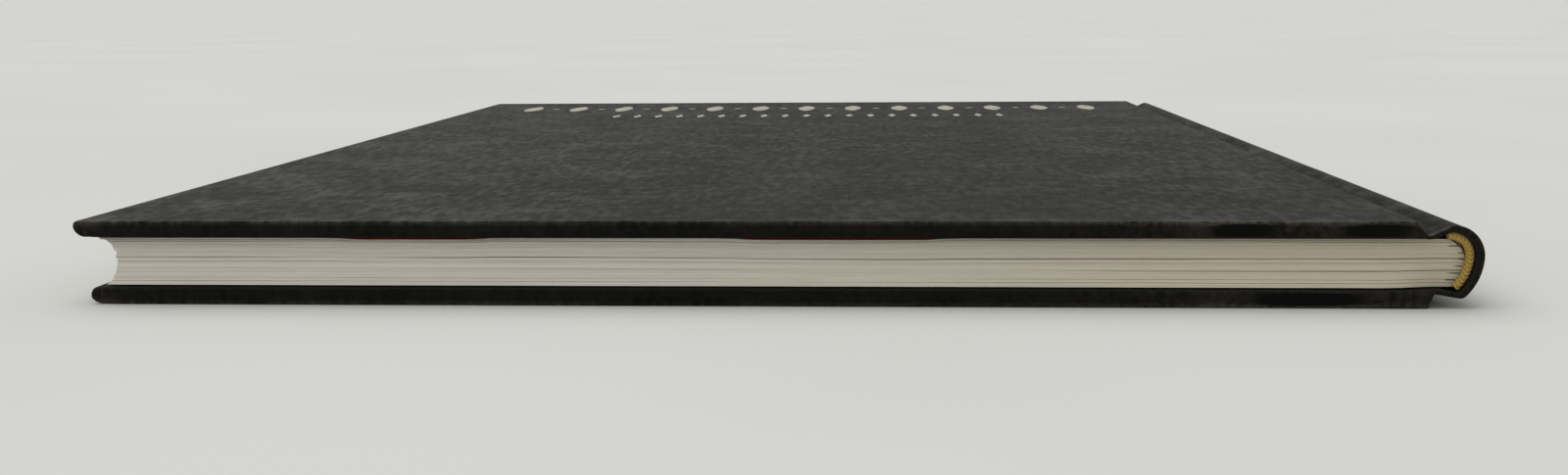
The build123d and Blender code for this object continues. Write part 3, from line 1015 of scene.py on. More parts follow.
def rim_profile(wall, radius):
    """Depth and stand of a rim's points below and past the outer face: a round, the wall and a round."""
    quarter = [math.pi / 2 * step / ROUND_STEPS for step in range(ROUND_STEPS + 1)]
    profile = [(radius * (1 - math.cos(turn)), radius * math.sin(turn)) for turn in quarter[1:]]
    profile += [(radius + (wall - 2 * radius) * step / WALL_STEPS, radius) for step in range(1, WALL_STEPS)]
    profile += [(wall - radius * (1 - math.sin(turn)), radius * math.cos(turn)) for turn in quarter[:-1]]
    return profile


def cloth_half(side, case, material):
    """Half of the case's cloth, from the fore-edge over the board and the groove to mid-spine."""
    outer, inner, graded_count = cloth_lines(side, case)
    columns = len(outer)
    wall = np.linalg.norm(inner - outer, axis=1)
    inward = (inner - outer) / wall[:, None]
    rounding = np.minimum(case.edge_round, ROUND_SHARE * wall)
    graded = graded_steps(case)
    length = side.tail - side.head - 2 * case.edge_round
    row_steps = graded + even_steps(graded[-1], length - graded[-1], ROW_STEP)
    row_steps += [length - step for step in reversed(graded)]
    row_shares = np.array(row_steps) / length
    rows = len(row_shares)

    # Outer face, with the boards' corners rounded in plan
    x = np.repeat(outer[:, :1], rows, axis=1)
    z = np.repeat(outer[:, 1:], rows, axis=1)
    span = side.tail - side.head - 2 * rounding
    y = side.head + rounding[:, None] + span[:, None] * row_shares[None, :]
    facing = round_corners(x, y, side, case)
    lift = side.up * cloth_swell(in_rows(x, y, 0.0), case)
    shift = x - outer[:, :1]
    sheet_x = travelled(outer)[:, None] + shift
    faces = grid_faces(columns, rows)

    # Turned-in ring on the inner side, of the cells near the head, the fore-edge and the tail
    turned = {}
    ring_cells = []
    for i in range(columns - 1):
        for j in range(rows - 1):
            if i < graded_count - 1 or j < len(graded) - 1 or j >= rows - len(graded):
                cell = ((i, j), (i, j + 1), (i + 1, j + 1), (i + 1, j))
                ring_cells.append([turned.setdefault(place, len(turned)) for place in cell])
    ring_points = [(inner[i, 0] + shift[i, j], y[i, j], inner[i, 1]) for i, j in turned]
    ring_sheet = [(sheet_x[i, j], y[i, j], 1.0) for i, j in turned]

    # Rim from the outer face to the ring: along the head from mid-spine, down the fore-edge, along the tail
    rim = [(i, 0) for i in range(columns - 1, 0, -1)]
    rim += [(0, j) for j in range(rows)]
    rim += [(i, rows - 1) for i in range(1, columns)]
    rim_points = []
    rim_sheet = []
    rim_share = []
    for i, j in rim:
        level = (-1.0, 0.0) if i == 0 else (0.0, -1.0 if j == 0 else 1.0)
        out = np.array([*facing.get((i, j), level), 0.0])
        down = np.array([inward[i, 0], 0.0, inward[i, 1]])
        start = np.array([x[i, j], y[i, j], outer[i, 1]])
        for drop, stand in rim_profile(wall[i], rounding[i]):
            rim_points.append(start + down * drop + out * stand)
            rim_sheet.append((sheet_x[i, j] - out[0] * drop, y[i, j] + out[1] * drop, 0.0))
            rim_share.append(drop / wall[i])
    rim_base = columns * rows
    ring_base = rim_base + len(rim_points)
    ladders = []
    for index, (i, j) in enumerate(rim):
        first = rim_base + index * RIM_STEPS
        ladders.append([i * rows + j, *range(first, first + RIM_STEPS), ring_base + turned[i, j]])
    for here, after in zip(ladders, ladders[1:]):
        for step in range(RIM_STEPS + 1):
            faces.append((here[step], after[step], after[step + 1], here[step + 1]))
    faces += [tuple(ring_base + vertex for vertex in cell) for cell in ring_cells]
    if side.up < 0:
        faces = flipped(faces)
    vertices = np.concatenate([in_rows(x, y, z + lift.reshape(z.shape)), rim_points, ring_points])
    vertices = give_way(vertices, side, case)
    wear, rub, fade = cloth_wear(vertices, np.array(rim_share), rim_base, ring_base, side, case)
    sheet = np.concatenate([in_rows(sheet_x, y, 0.0), rim_sheet, ring_sheet])
    name = f"{side.name}_cloth"
    piece = make_piece(name, vertices, faces, material, sheet=sheet, wear=wear, rub=rub, fade=fade)
    thicken(piece, case.thickness, -1)
    sharpen(piece, degrees=50)
    return piece


def painted_sheen_share(x, y, side):
    """Share of painted sheen over a cover, lighter where the light falls: most along the fore-edge, least in
    the middle of the head.
    """
    fore = 1 - smooth(side.fore_edge, PAINTED_SHEEN_WIDTH + side.fore_edge, x)
    tail = (y - side.head) / (side.tail - side.head)
    spine = smooth(side.groove_edge - PAINTED_SHEEN_WIDTH / 2, side.groove_edge, x)
    return PAINTED_SHEEN_LEAST + PAINTED_SHEEN_FORE * fore + PAINTED_SHEEN_TAIL * tail * (1 - fore) + PAINTED_SHEEN_SPINE * spine


def cloth_wear(vertices, rim_share, rim_base, ring_base, side, case):
    """Wear, rubbing with painted shade in the corner creases, and painted sheen at each vertex of a cloth
    half.
    """
    x, y = vertices[:, 0], vertices[:, 1]
    to_head = np.minimum(y - side.head, side.tail - y)
    to_fore = x - side.fore_edge
    edge = np.exp(-(np.minimum(to_head, to_fore) - case.edge_round).clip(0) / EDGE_REACH)
    edge = edge * (EDGE_WEAR + (1 - EDGE_WEAR) * smooth(*SPINE_WEAR_RISE, x))
    groove = GROOVE_WEAR * np.exp(-np.abs(x - side.groove_edge) / GROOVE_REACH)
    ridge = RIDGE_WEAR * np.exp(-np.abs(x - side.shoulder) / RIDGE_REACH)
    corner = np.exp(-(np.hypot(to_fore, to_head) / CORNER_REACH) ** 2)
    wear = np.max([edge, groove, ridge, corner], axis=0)
    # Painted sheen over the covers, with a painted highlight along the raised edges
    fade = painted_sheen_share(x, y, side) + PAINTED_EDGE_HIGHLIGHT * edge
    rim = slice(rim_base, ring_base)
    wear[rim] *= np.interp(rim_share, *RIM_WEAR)
    wear[ring_base:] *= TURNED_WEAR
    # Painted shade down the rims: the painted sheen falls away there
    fade[rim] *= np.interp(rim_share, *RIM_PAINTED_SHADE)
    fade[ring_base:] = TURNED_PAINTED_SHEEN
    # The corner creases count as rubbed and are painted darker: painted shade in the crease
    rub = np.max([corner_fold(vertices, side, case, end) for end in (side.head, side.tail)], axis=0)
    down = smooth(*RUB_TOP, rim_share) * smooth(*RUB_FOOT, rim_share)
    at_head = (y[rim] < 0) & (x[rim] < side.groove_edge)
    for middle, reach, strength in side.rubs:
        along = np.clip(RUB_CORE - np.abs(x[rim] - middle) / reach, 0, 1)
        rub[rim] = np.maximum(rub[rim], strength * along * down * at_head)
    return wear, rub, fade


def bend_with_cover(piece, side):
    """Bakes a sheet's placement into its mesh, the same for the front and the back; it sets no bending at the
    hinge.
    """
    if side is FRONT:
        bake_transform(piece)
    else:
        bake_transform(piece)


class BOOK_OT_cloth(bpy.types.Operator):
    """Makes the case's cloth in two halves that meet at mid-spine and dip into the grooves"""

    bl_idname = "book.cloth"
    bl_label = "Cloth"

    def execute(self, context):
        case = context.scene.book_case
        material = book_cloth_finish(case)
        for side in SIDES:
            half = cloth_half(side, case, material)
            bend_with_cover(half, side)
            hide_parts(f"{side.name}_cover_cloth", "spine_cloth")
        return {"FINISHED"}


def board_points(side, case, board):
    """Vertices and faces of a board with round corners, that gives way where the cloth over it does."""
    low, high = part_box(f"{side.name}_board")
    radius = case.corner_round - (low.x - side.fore_edge)
    pivot_x, head_y, tail_y = low.x + radius, low.y + radius, high.y - radius
    turns = [math.pi / 2 * step / CORNER_STEPS for step in range(CORNER_STEPS + 1)]
    outline = [(high.x, low.y)]
    outline += [(x, low.y) for x in even_steps(high.x, pivot_x, board.step)]
    outline += [(pivot_x - radius * math.sin(turn), head_y - radius * math.cos(turn)) for turn in turns]
    outline += [(low.x, y) for y in even_steps(head_y, tail_y, board.step)]
    outline += [(pivot_x - radius * math.cos(turn), tail_y + radius * math.sin(turn)) for turn in turns]
    outline += [(x, high.y) for x in even_steps(pivot_x, high.x, board.step)]
    outline += [(high.x, high.y)]
    levels = np.linspace(low.z, high.z, WALL_STEPS + 1)
    points = np.array([(x, y, z) for z in levels for x, y in outline])
    return give_way(points, side, case), flipped(tube_faces(0, len(outline), len(levels)))


class BOOK_OT_boards(bpy.types.Operator):
    """Makes the two boards with their bruised corners, and finishes the spine's inlay"""

    bl_idname = "book.boards"
    bl_label = "Boards"

    def execute(self, context):
        board = context.scene.book_board
        material = greyboard_finish(board)
        for side in SIDES:
            points, faces = board_points(side, context.scene.book_case, board)
            piece = make_piece(f"{side.name}_greyboard", points, faces, material)
            sharpen(piece, degrees=40)
            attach(piece, side.body)
            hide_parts(f"{side.name}_board")
        refinish("spine_inlay", material)
        return {"FINISHED"}


def sliver_share(side, x):
    """1 where the endpaper's edge shows at the head, 0 elsewhere, and less at the back."""
    slivers = [between(start, end, x, SLIVER_OUTSIDE, SLIVER_INSIDE) for start, end in side.slivers]
    share = np.max(slivers, axis=0)
    return share if side is FRONT else BACK_SLIVER * share


def text_circle(leaf):
    """Middle and radius of the curve through the text block's shoulders and its middle fold."""
    middle = ((FRONT.shoulder + BACK.shoulder) / 2 + leaf.spine_round, MIDDLE_Z)
    return circle_through((FRONT.shoulder, FRONT.face_z), middle, (BACK.shoulder, BACK.face_z))


def text_curve(share, leaf):
    """Place across of the text block's spine curve, from its back (0) to its front (1)."""
    centre, radius = text_circle(leaf)
    z = BACK.face_z + share * TEXT_THICK
    return centre[0] + np.sqrt(radius**2 - (z - centre[1]) ** 2)


def leaf_lean(share, x, leaf):
    """Shift of a leaf towards the head: none at the front and at the folds, most at the back."""
    return -leaf.lean * (1 - share) * smooth(*LEAN_RISE, BACK.shoulder - x)


def leaf_height(share, x, y, leaf):
    """Height of a place in the text block: the even share of its thickness, with waves and sags."""
    free = 4 * share * (1 - share)
    places = in_rows(x * LEAF_WAVES, y * LEAF_WAVES, share * LAYER_WAVES)
    wave = leaf.wave * free * waves(places, seed=3).reshape(share.shape)
    near_head = np.exp(-(y - FRONT.leaf_head) / SAG_REACH)
    sag = leaf.sag * sliver_share(FRONT, x) * near_head * share**2
    return BACK.face_z + TEXT_THICK * share + wave - sag


def leaf_plan():
    """Places round a leaf's edge as shares across and along, with the way that the edge faces there."""
    head = np.concatenate([np.linspace(*stretch, endpoint=False) for stretch in HEAD_STRETCHES])
    side = np.linspace(0, 1, LEAF_SIDE_STEPS, endpoint=False)
    edges = ((head, 0, 0, -1), (1, side, 1, 0), (1 - head, 1, 0, 1), (0, 1 - side, -1, 0))
    return np.concatenate([np.stack(np.broadcast_arrays(*edge)) for edge in edges], axis=1)


def leaf_rows(leaf):
    """Rows of the skin from the back on: a crease, then the lower and the upper edge of each leaf."""
    rng = random.Random(SEED)
    count = leaf.sections * leaf.section_leaves
    rows = []
    fore_inset = 0.0
    for k in range(count):
        head_inset = rng.random() * leaf.jitter
        if rng.random() < FORE_CHANGE:
            fore_inset = rng.gauss(0, 1) * leaf.fore_jitter * (FORE_SPREAD - k / count)
        tint = rng.random()
        if k >= count - leaf.long_leaves:
            fore_inset = -leaf.long_reach
        for kind, place in (("crease", 0), ("low", CREASE_SHARE), ("high", 1 - CREASE_SHARE)):
            rows.append((kind, k, (k + place) / count, head_inset, fore_inset, tint))
    rows.append(("crease", count, 1.0, 0.0, fore_inset, 0.5))
    return rows


def leaf_caps(base, count):
    """Faces over a row of the skin: the fore-edge's and the spine's ends, and strips from head to tail."""
    fore = base + count - LEAF_SIDE_STEPS
    head = count // 2 - LEAF_SIDE_STEPS
    spine = base + head
    caps = [(*range(fore, base + count), base), tuple(range(spine, spine + LEAF_SIDE_STEPS + 1))]
    return caps + [(base + k, base + k + 1, fore - k - 1, fore - k) for k in range(head)]


def leaf_skin(leaf, material):
    """One closed skin over all the leaves, with a crease between each two of them."""
    across, along, out_x, out_y = leaf_plan()
    rows = leaf_rows(leaf)
    count = leaf.sections * leaf.section_leaves
    block_width = TEXT_HIGH.x - TEXT_LOW.x
    x_plan = TEXT_LOW.x + across * block_width
    leaf_width = FRONT.shoulder - FRONT.leaf_edge
    points = []
    tints_and_gap_shades = []
    for kind, k, share, head_inset, fore_inset, tint in rows:
        boundary = k + 1 if kind == "high" else k
        breaks = waves(in_rows(x_plan * BREAK_WAVES[0], along * BREAK_WAVES[1], boundary), seed=5)
        gap = LONG_GAPS.get(boundary, 0.0) * smooth(*GAP_BREAK, breaks)
        if boundary == SHORT_GAP:
            gap = gap * smooth(*SHORT_GAP_RISE, x_plan)
        slot = np.zeros_like(across)
        if boundary % leaf.section_leaves == 0 and 0 < boundary < count:
            length = leaf.slot_depth * (SLOT_LENGTH + SLOT_CHANGE * math.sin(boundary * UNEVEN_STEP))
            slot = smooth(length * SLOT_RISE[0], length * SLOT_RISE[1], (1 - across) * block_width)
        mouth = np.maximum(gap * GAP_MOUTH, slot * leaf.slot_mouth)
        opening = {"crease": 0, "low": 1, "high": -1}[kind]
        row_share = share + opening * mouth / 2 / TEXT_THICK
        curve = text_curve(row_share, leaf)
        spine = curve + leaf.fold_bulge * math.sin(math.pi * ((share * leaf.sections) % 1.0))
        fore_wave = waves(in_rows(0, along * FORE_WAVES[0], share * FORE_WAVES[1]), seed=8)
        fore = curve - leaf_width + leaf.fore_set + fore_inset
        fore = fore + leaf.fore_jitter * FORE_WAVE_SHARE * fore_wave
        if kind == "crease":
            floor = slot * SLOT_FLOOR
            head_crease = HEAD_CREASE + np.maximum(gap * GAP_FLOOR, floor)
            inset = np.select([out_x > 0, out_x < 0], [SPINE_CREASE + floor, FORE_CREASE], head_crease)
            # Painted shade on the floors of the open gaps and slots
            tint = np.maximum(tint, np.maximum(gap, slot))
        else:
            rough = waves(in_rows(x_plan * ROUGH_WAVES[0], along * ROUGH_WAVES[1], k * UNEVEN_STEP), seed=4)
            inset = np.where(out_x == 0, head_inset + leaf.jitter * ROUGH_SHARE * rough, 0.0)
        x = fore + across * (spine - fore) - inset * out_x
        y = FRONT.leaf_head + along * (FRONT.leaf_tail - FRONT.leaf_head) - inset * out_y
        y = y + leaf_lean(row_share, x, leaf)
        points.append(in_rows(x, y, leaf_height(row_share, x, y, leaf)))
        tints_and_gap_shades.append(np.broadcast_to(tint, x.shape))
    edge = len(across)
    faces = ring_faces(0, edge, len(rows)) + flipped(leaf_caps(0, edge))
    faces += leaf_caps((len(rows) - 1) * edge, edge)
    piece = make_piece("leaves", np.concatenate(points), faces, material, tint=np.concatenate(tints_and_gap_shades))
    sharpen(piece, degrees=30)
    return piece


class BOOK_OT_leaves(bpy.types.Operator):
    """Makes the sewn leaves as one closed skin with a crease between each two leaves"""

    bl_idname = "book.leaves"
    bl_label = "Leaves"

    def execute(self, context):
        leaf = context.scene.book_leaf
        piece = leaf_skin(leaf, page_finish(leaf))
        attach(piece, "book_block")
        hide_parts("text_block")
        return {"FINISHED"}


def sheet_grid(name, columns, rows, heights, edges, material, flip):
    """A sheet over a grid of places, with its own heights and the y of its head and tail edges."""
    x, share = np.meshgrid(columns, rows, indexing="ij")
    head, tail = edges
    y = head[:, None] + (tail - head)[:, None] * share
    faces = grid_faces(len(columns), len(rows))
    if flip:
        faces = flipped(faces)
    return make_piece(name, in_rows(x, y, heights(x, y)), faces, material, sheet=in_rows(x, y, 0.0))


def make_flyleaf(side, leaf, endpaper, material):
    """The endpaper's leaf that lies on the text block."""
    flat = np.linspace(side.leaf_edge, side.shoulder - FLYLEAF_FOLD, FLYLEAF_COLUMNS)
    columns = np.concatenate([flat, side.shoulder - np.array(FOLD_PLACES)])
    rows = np.concatenate([np.linspace(*stretch, endpoint=False) for stretch in FLYLEAF_STRETCHES] + [[1.0]])
    rise = side.up * (endpaper.thickness / 2 + PAPER_GAP)
    ragged = 1 - RAGGED_SHARE * (1 - waves(in_rows(columns * RAGGED_WAVES, 0, side.up), seed=6))
    inset = endpaper.inset * (1 - sliver_share(side, columns)) * ragged
    face_share = 1.0 if side is FRONT else 0.0
    lean = leaf_lean(face_share, columns, leaf)
    edges = (side.leaf_head + inset + lean, side.leaf_tail + lean - endpaper.inset * TAIL_INSET * ragged)

    def heights(x, y):
        return leaf_height(np.full_like(x, face_share), x, y, leaf) + rise

    piece = sheet_grid(f"{side.name}_free_endpaper", columns, rows, heights, edges, material, side.up < 0)
    thicken(piece, endpaper.thickness, 0)
    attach(piece, "book_block")
    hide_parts(f"{side.name}_flyleaf")


def close_steps(places, reach):
    """Places close together on both sides of each given one."""
    return [place + reach * (2 * k / CLOSE_STEPS - 1) for place in places for k in range(CLOSE_STEPS + 1)]


def make_pastedown(side, case, endpaper, material):
    """The endpaper's leaf on the cover, sunk between turn-ins and gauze, with its strip across the hinge."""
    window_x = side.fore_edge + case.turn_in
    flap_x = side.board_edge - endpaper.mull_flap
    strip = np.linspace(side.groove_edge, side.shoulder - STRIP_MARGIN, STRIP_COLUMNS)[1:]
    columns = [*np.linspace(side.leaf_edge, side.groove_edge, PASTE_COLUMNS), *strip]
    columns = np.sort(columns + close_steps((window_x, flap_x), STEP_REACH))
    length = side.leaf_tail - side.leaf_head
    window_y = (case.turn_in - (side.leaf_head - side.head)) / length
    rows = list(np.linspace(0, 1, PASTE_ROWS)) + close_steps((window_y, 1 - window_y), STEP_REACH / length)
    inset = endpaper.inset * (1 - sliver_share(side, columns))
    edges = (side.leaf_head + inset, side.leaf_tail - np.full_like(columns, endpaper.inset))
    half = endpaper.thickness / 2

    def heights(x, y):
        head, tail = side.head + case.turn_in, side.tail - case.turn_in
        sunk = between(window_x, flap_x, x, STEP_WIDTH, STEP_WIDTH)
        sunk = sunk * between(head, tail, y, STEP_WIDTH, STEP_WIDTH)
        level = side.paste_depth + half + sunk * (side.sunk_depth - side.turned_depth)
        crossing = smooth(side.groove_edge - STRIP_START, side.groove_edge + STRIP_END, x)
        return side.at(level + crossing * ((STRIP_LEVEL - 1) * half - side.paste_depth))

    name = f"{side.name}_pasted_endpaper"
    piece = sheet_grid(name, columns, np.sort(rows), heights, edges, material, side.up > 0)
    thicken(piece, endpaper.thickness, 0)
    bend_with_cover(piece, side)
    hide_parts(f"{side.name}_pastedown")


class BOOK_OT_endpapers(bpy.types.Operator):
    """Makes the dyed endpapers: a leaf on the text block and a leaf pasted on each cover"""

    bl_idname = "book.endpapers"
    bl_label = "Endpapers"

    def execute(self, context):
        scene = context.scene
        material = endpaper_finish(scene.book_endpaper)
        for side in SIDES:
            make_flyleaf(side, scene.book_leaf, scene.book_endpaper, material)
            make_pastedown(side, scene.book_case, scene.book_endpaper, material)
        return {"FINISHED"}


def bead_line(case, band):
    """Points of the bead's middle line with their outward directions, from front to back."""
    stand = case.spine_wall + band.clearance + band.bead / 2
    points = []
    outward = []
    for side in SIDES:
        centre, radius, _ = case_circle(side, case)
        angles = np.linspace(band.reach, 0, FRONT_BEAD_STEPS, endpoint=False)
        if side is BACK:
            back_end = math.asin((BACK.face_z - centre[1]) / (radius - stand))
            angles = np.linspace(0, back_end, BACK_BEAD_STEPS)
        points.append(on_circle(centre, radius - stand, angles))
        outward.append(on_circle((0, 0), 1, angles))
    return np.concatenate(points), np.concatenate(outward)


def wound_bead(edge_y, end, case, band):
    """Vertices of a bead wrapped in a herringbone, their depths in the wrap and the turns of their thread."""
    points, outward = bead_line(case, band)
    middle_y = edge_y + end * band.bead / 2
    vertices, strand, twist = [], [], []
    for (x, z), (out_x, out_z), travel in zip(points, outward, travelled(points)):
        for k in range(BEAD_STEPS):
            turn = 2 * math.pi * k / BEAD_STEPS
            lean = abs(((turn + math.pi / 2) % (2 * math.pi)) - math.pi) / math.pi
            phase = travel / band.wrap_pitch + HERRINGBONE * lean
            ridge = abs(math.sin(math.pi * phase)) ** WRAP_POWER
            radius = band.bead / 2 * (BEAD_CORE + (1 - BEAD_CORE) * ridge)
            step = radius * math.cos(turn)
            vertices.append((x + out_x * step, middle_y + end * radius * math.sin(turn), z + out_z * step))
            # Depth in the wrap, painted darker as shade between the wraps
            strand.append(1.0 - ridge)
            twist.append(PLY * (phase + 2 * lean))
    return vertices, strand, twist


def band_tape(edge_y, end, leaf, band):
    """Vertices of the tape that carries the bead, in fours along the folds, and the turns of their thread."""
    shares = np.linspace(TAPE_MARGIN, 1 - TAPE_MARGIN, TAPE_STEPS)
    curve = text_curve(shares, leaf)
    heights = BACK.face_z + shares * TEXT_THICK
    normals = np.stack([np.gradient(heights), -np.gradient(curve)], axis=1)
    normals /= np.linalg.norm(normals, axis=1)[:, None]
    vertices = []
    for x, z, (out_x, out_z) in zip(curve, heights, normals):
        for outside, lower in ((0, 0), (1, 0), (1, 1), (0, 1)):
            stand = band.tape_offset + outside * band.tape_thickness
            drop = band.tape_drop + lower * band.tape_height
            vertices.append((x + out_x * stand, edge_y - end * drop, z + out_z * stand))
    return vertices, list(np.repeat(heights * TAPE_THREADS, 4))


def make_band(name, end, scene, material):
    """A band of wound thread on its tape, at the head (end -1) or the tail (end 1)."""
    edge_y = FRONT.leaf_head if end < 0 else FRONT.leaf_tail
    vertices, strand, twist = wound_bead(edge_y, end, scene.book_case, scene.book_band)
    tape, tape_twist = band_tape(edge_y, end, scene.book_leaf, scene.book_band)
    faces = tube_faces(0, BEAD_STEPS, len(vertices) // BEAD_STEPS)
    faces += tube_faces(len(vertices), 4, TAPE_STEPS)
    if end > 0:
        faces = flipped(faces)
    strand += [TAPE_DARK_SHARE] * len(tape)
    twist += tape_twist
    piece = make_piece(f"{name}_thread", vertices + tape, faces, material, strand=strand, twist=twist)
    sharpen(piece, degrees=60)
    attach(piece, "book_block")
    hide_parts(name)


class BOOK_OT_bands(bpy.types.Operator):
    """Makes the head and tail bands of wound thread"""

    bl_idname = "book.bands"
    bl_label = "Head and tail bands"

    def execute(self, context):
        material = band_finish(context.scene.book_band)
        make_band("headband", -1, context.scene, material)
        make_band("tailband", 1, context.scene, material)
        return {"FINISHED"}


def leaf_outline(length, width, steps=14):
    """Pointed oval about the origin."""
    along = np.linspace(-1, 1, steps)
    half = width / 2 * (1 - along**2) ** LEAF_POINT
    first = list(zip(half, along * length / 2))
    return first + [(-x, y) for x, y in reversed(first[1:-1])]


def disc_outline(diameter, steps=16):
    """Disc about the origin."""
    turns = [2 * math.pi * k / steps for k in range(steps)]
    return [(diameter / 2 * math.cos(turn), diameter / 2 * math.sin(turn)) for turn in turns]


def lozenge_outline(length, width):
    """Lozenge about the origin."""
    return [(0, -length / 2), (width / 2, 0), (0, length / 2), (-width / 2, 0)]


def stamped(outline, places, y):
    """An outline set down at each place of a row."""
    return [[(x + step_x, y + step_y) for step_x, step_y in outline] for x in places]


class BOOK_OT_foil(bpy.types.Operator):
    """Stamps a row of leaves and dots and a row of small lozenges in pale foil"""

    bl_idname = "book.foil"
    bl_label = "Foil ornament"

    def execute(self, context):
        foil = context.scene.book_foil
        leaves = np.linspace(foil.row_start, foil.row_end, foil.leaf_count)
        lozenges = np.linspace(foil.small_row_start, foil.small_row_end, foil.lozenge_count)
        marks = stamped(leaf_outline(foil.leaf_length, foil.leaf_width), leaves, foil.row_y)
        marks += stamped(disc_outline(foil.dot), (leaves[1:] + leaves[:-1]) / 2, foil.row_y)
        marks += stamped(lozenge_outline(foil.lozenge_length, foil.lozenge_width), lozenges, foil.small_row_y)
        vertices, faces = [], []
        for mark in marks:
            x, y = np.transpose(mark)
            cloth_z = FRONT.at(FRONT.outer_depth) + cloth_swell(in_rows(x, y, 0.0), context.scene.book_case)
            faces += tube_faces(len(vertices), len(mark), len(FILM_LEVELS))
            for level in FILM_LEVELS:
                vertices += list(in_rows(x, y, cloth_z + foil.film * level))
        piece = make_piece("foil_ornament", vertices, faces, foil_finish(foil))
        sharpen(piece, degrees=40)
        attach(piece, FRONT.body)
        return {"FINISHED"}


def gauze_half(side, scene, material):
    """Half of the gauze: from mid-spine over the folds and the shoulder into the groove."""
    hidden = scene.book_hidden
    centre, radius = text_circle(scene.book_leaf)
    start = math.asin((MIDDLE_Z - centre[1]) / radius)
    end = math.atan2(side.face_z - centre[1], side.shoulder - centre[0])
    level = side.at(hidden.gauze_depth)
    curve = on_circle(centre, radius + hidden.gauze_offset, np.linspace(start, end, GAUZE_CURVE_STEPS))
    flat = straight((side.shoulder, level), (side.groove_edge, level), GAUZE_FLAT_STEPS)
    line = blurred(np.concatenate([curve, flat]), 0, LINE_BLUR)
    low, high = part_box("spine_mull")
    rows = np.linspace(low.y, high.y, GAUZE_ROWS)
    vertices = [(x, y, z) for x, z in line for y in rows]
    faces = flipped(grid_faces(len(line), len(rows)))
    sheet = [(travel, y, 0.0) for travel in travelled(line) for y in rows]
    piece = make_piece(f"{side.name}_gauze", vertices, faces, material, sheet=sheet)
    thicken(piece, hidden.gauze_thickness, 0)
    bend_with_cover(piece, side)
    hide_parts("spine_mull")


class BOOK_OT_hidden(bpy.types.Operator):
    """Makes the gauze over the folds and into the grooves, and finishes its flaps and the lining"""

    bl_idname = "book.hidden"
    bl_label = "Gauze and lining"

    def execute(self, context):
        hidden = context.scene.book_hidden
        gauze = gauze_finish(hidden, "sheet")
        flap_gauze = gauze_finish(hidden, None)
        for side in SIDES:
            gauze_half(side, context.scene, gauze)
            refinish(f"{side.name}_mull_flap", flap_gauze)
        refinish("spine_lining", lining_finish(hidden))
        return {"FINISHED"}


def aim(place, yaw, pitch, roll):
    """Matrix of a camera at a place, turned right by yaw, down by pitch and on its own line by roll."""
    forward = Vector((math.sin(yaw) * math.cos(pitch), math.cos(yaw) * math.cos(pitch), -math.sin(pitch)))
    level = Vector((math.cos(yaw), -math.sin(yaw), 0.0))
    upright = level.cross(forward)
    right = level * math.cos(roll) + upright * math.sin(roll)
    up = upright * math.cos(roll) - level * math.sin(roll)
    turn = Matrix((right, up, -forward)).transposed()
    return Matrix.Translation(place) @ turn.to_4x4()


def light_backdrop(tree, stage):
    """Light from all round, with the paler backdrop that cameras, gloss and glass see."""
    background = tree.nodes["Background"]
    background.inputs["Color"].default_value = (*stage.world_colour, 1.0)
    path = tree.nodes.new("ShaderNodeLightPath")
    seen = path.outputs["Is Camera Ray"]
    for output in ("Is Glossy Ray", "Is Transmission Ray"):
        either = tree.nodes.new("ShaderNodeMath")
        either.operation = "MAXIMUM"
        tree.links.new(seen, either.inputs[0])
        tree.links.new(path.outputs[output], either.inputs[1])
        seen = either.outputs[0]
    strength = tree.nodes.new("ShaderNodeMapRange")
    strength.inputs["To Min"].default_value = stage.world_strength
    strength.inputs["To Max"].default_value = stage.backdrop_strength
    tree.links.new(seen, strength.inputs["Value"])
    tree.links.new(strength.outputs["Result"], background.inputs["Strength"])


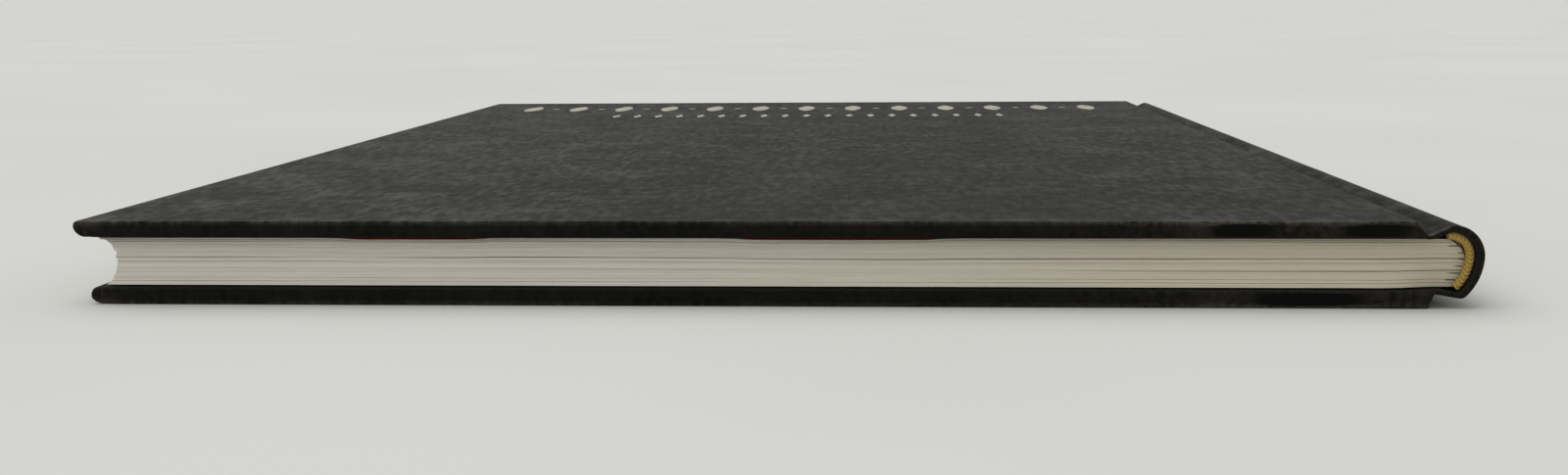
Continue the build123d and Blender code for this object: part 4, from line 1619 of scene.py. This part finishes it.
class BOOK_OT_stage(bpy.types.Operator):
    """Sets the pale floor, the soft light and the camera"""

    bl_idname = "book.stage"
    bl_label = "Stage"

    def execute(self, context):
        scene = context.scene
        stage = scene.book_stage
        half = stage.floor_size / 2
        corners = [(-half, -half, 0.0), (half, -half, 0.0), (half, half, 0.0), (-half, half, 0.0)]
        make_piece("floor", corners, [(0, 1, 2, 3)], floor_finish(stage))
        world = bpy.data.worlds.new("soft_light")
        world.use_nodes = True
        light_backdrop(world.node_tree, stage)
        scene.world = world
        lamp = bpy.data.lights.new("overhead", "SUN")
        lamp.energy = stage.sky_strength
        lamp.angle = stage.sky_spread
        light = bpy.data.objects.new("overhead", lamp)
        light.location = stage.sky_place
        light.rotation_euler = Vector(stage.sky_place).to_track_quat("Z", "Y").to_euler()
        scene.collection.objects.link(light)
        camera = bpy.data.objects.new("camera", bpy.data.cameras.new("camera"))
        camera.data.sensor_width = SENSOR_WIDTH
        camera.data.lens = stage.focal_pixels * SENSOR_WIDTH / IMAGE_WIDTH
        camera.data.clip_start = CLIP_START
        place = Vector(stage.camera_place)
        camera.matrix_world = aim(place, stage.camera_yaw, stage.camera_pitch, stage.camera_roll)
        scene.collection.objects.link(camera)
        scene.camera = camera
        scene.view_settings.view_transform = "Standard"
        return {"FINISHED"}


class BOOK_PT_sidebar(bpy.types.Panel):
    """Lists the book's pieces"""

    bl_idname = "BOOK_PT_sidebar"
    bl_label = "Case-bound book"
    bl_space_type = "VIEW_3D"
    bl_region_type = "UI"
    bl_category = "Book"

    def draw(self, context):
        for operator in OPERATORS:
            self.layout.operator(operator.bl_idname)


GROUPS = {
    "book_case": CaseSettings,
    "book_board": BoardSettings,
    "book_leaf": LeafSettings,
    "book_endpaper": EndpaperSettings,
    "book_band": BandSettings,
    "book_foil": FoilSettings,
    "book_hidden": HiddenSettings,
    "book_stage": StageSettings,
}
OPERATORS = (
    BOOK_OT_stage,
    BOOK_OT_cloth,
    BOOK_OT_boards,
    BOOK_OT_leaves,
    BOOK_OT_endpapers,
    BOOK_OT_bands,
    BOOK_OT_foil,
    BOOK_OT_hidden,
)
CLASSES = (*GROUPS.values(), *OPERATORS, BOOK_PT_sidebar)


def register():
    for cls in CLASSES:
        bpy.utils.register_class(cls)
    for name, group in GROUPS.items():
        setattr(bpy.types.Scene, name, PointerProperty(type=group))


def unregister():
    for name in GROUPS:
        delattr(bpy.types.Scene, name)
    for cls in reversed(CLASSES):
        bpy.utils.unregister_class(cls)


def main():
    register()
    for operator in OPERATORS:
        family, name = operator.bl_idname.split(".")
        getattr(getattr(bpy.ops, family), name)()


if __name__ == "__main__":
    main()
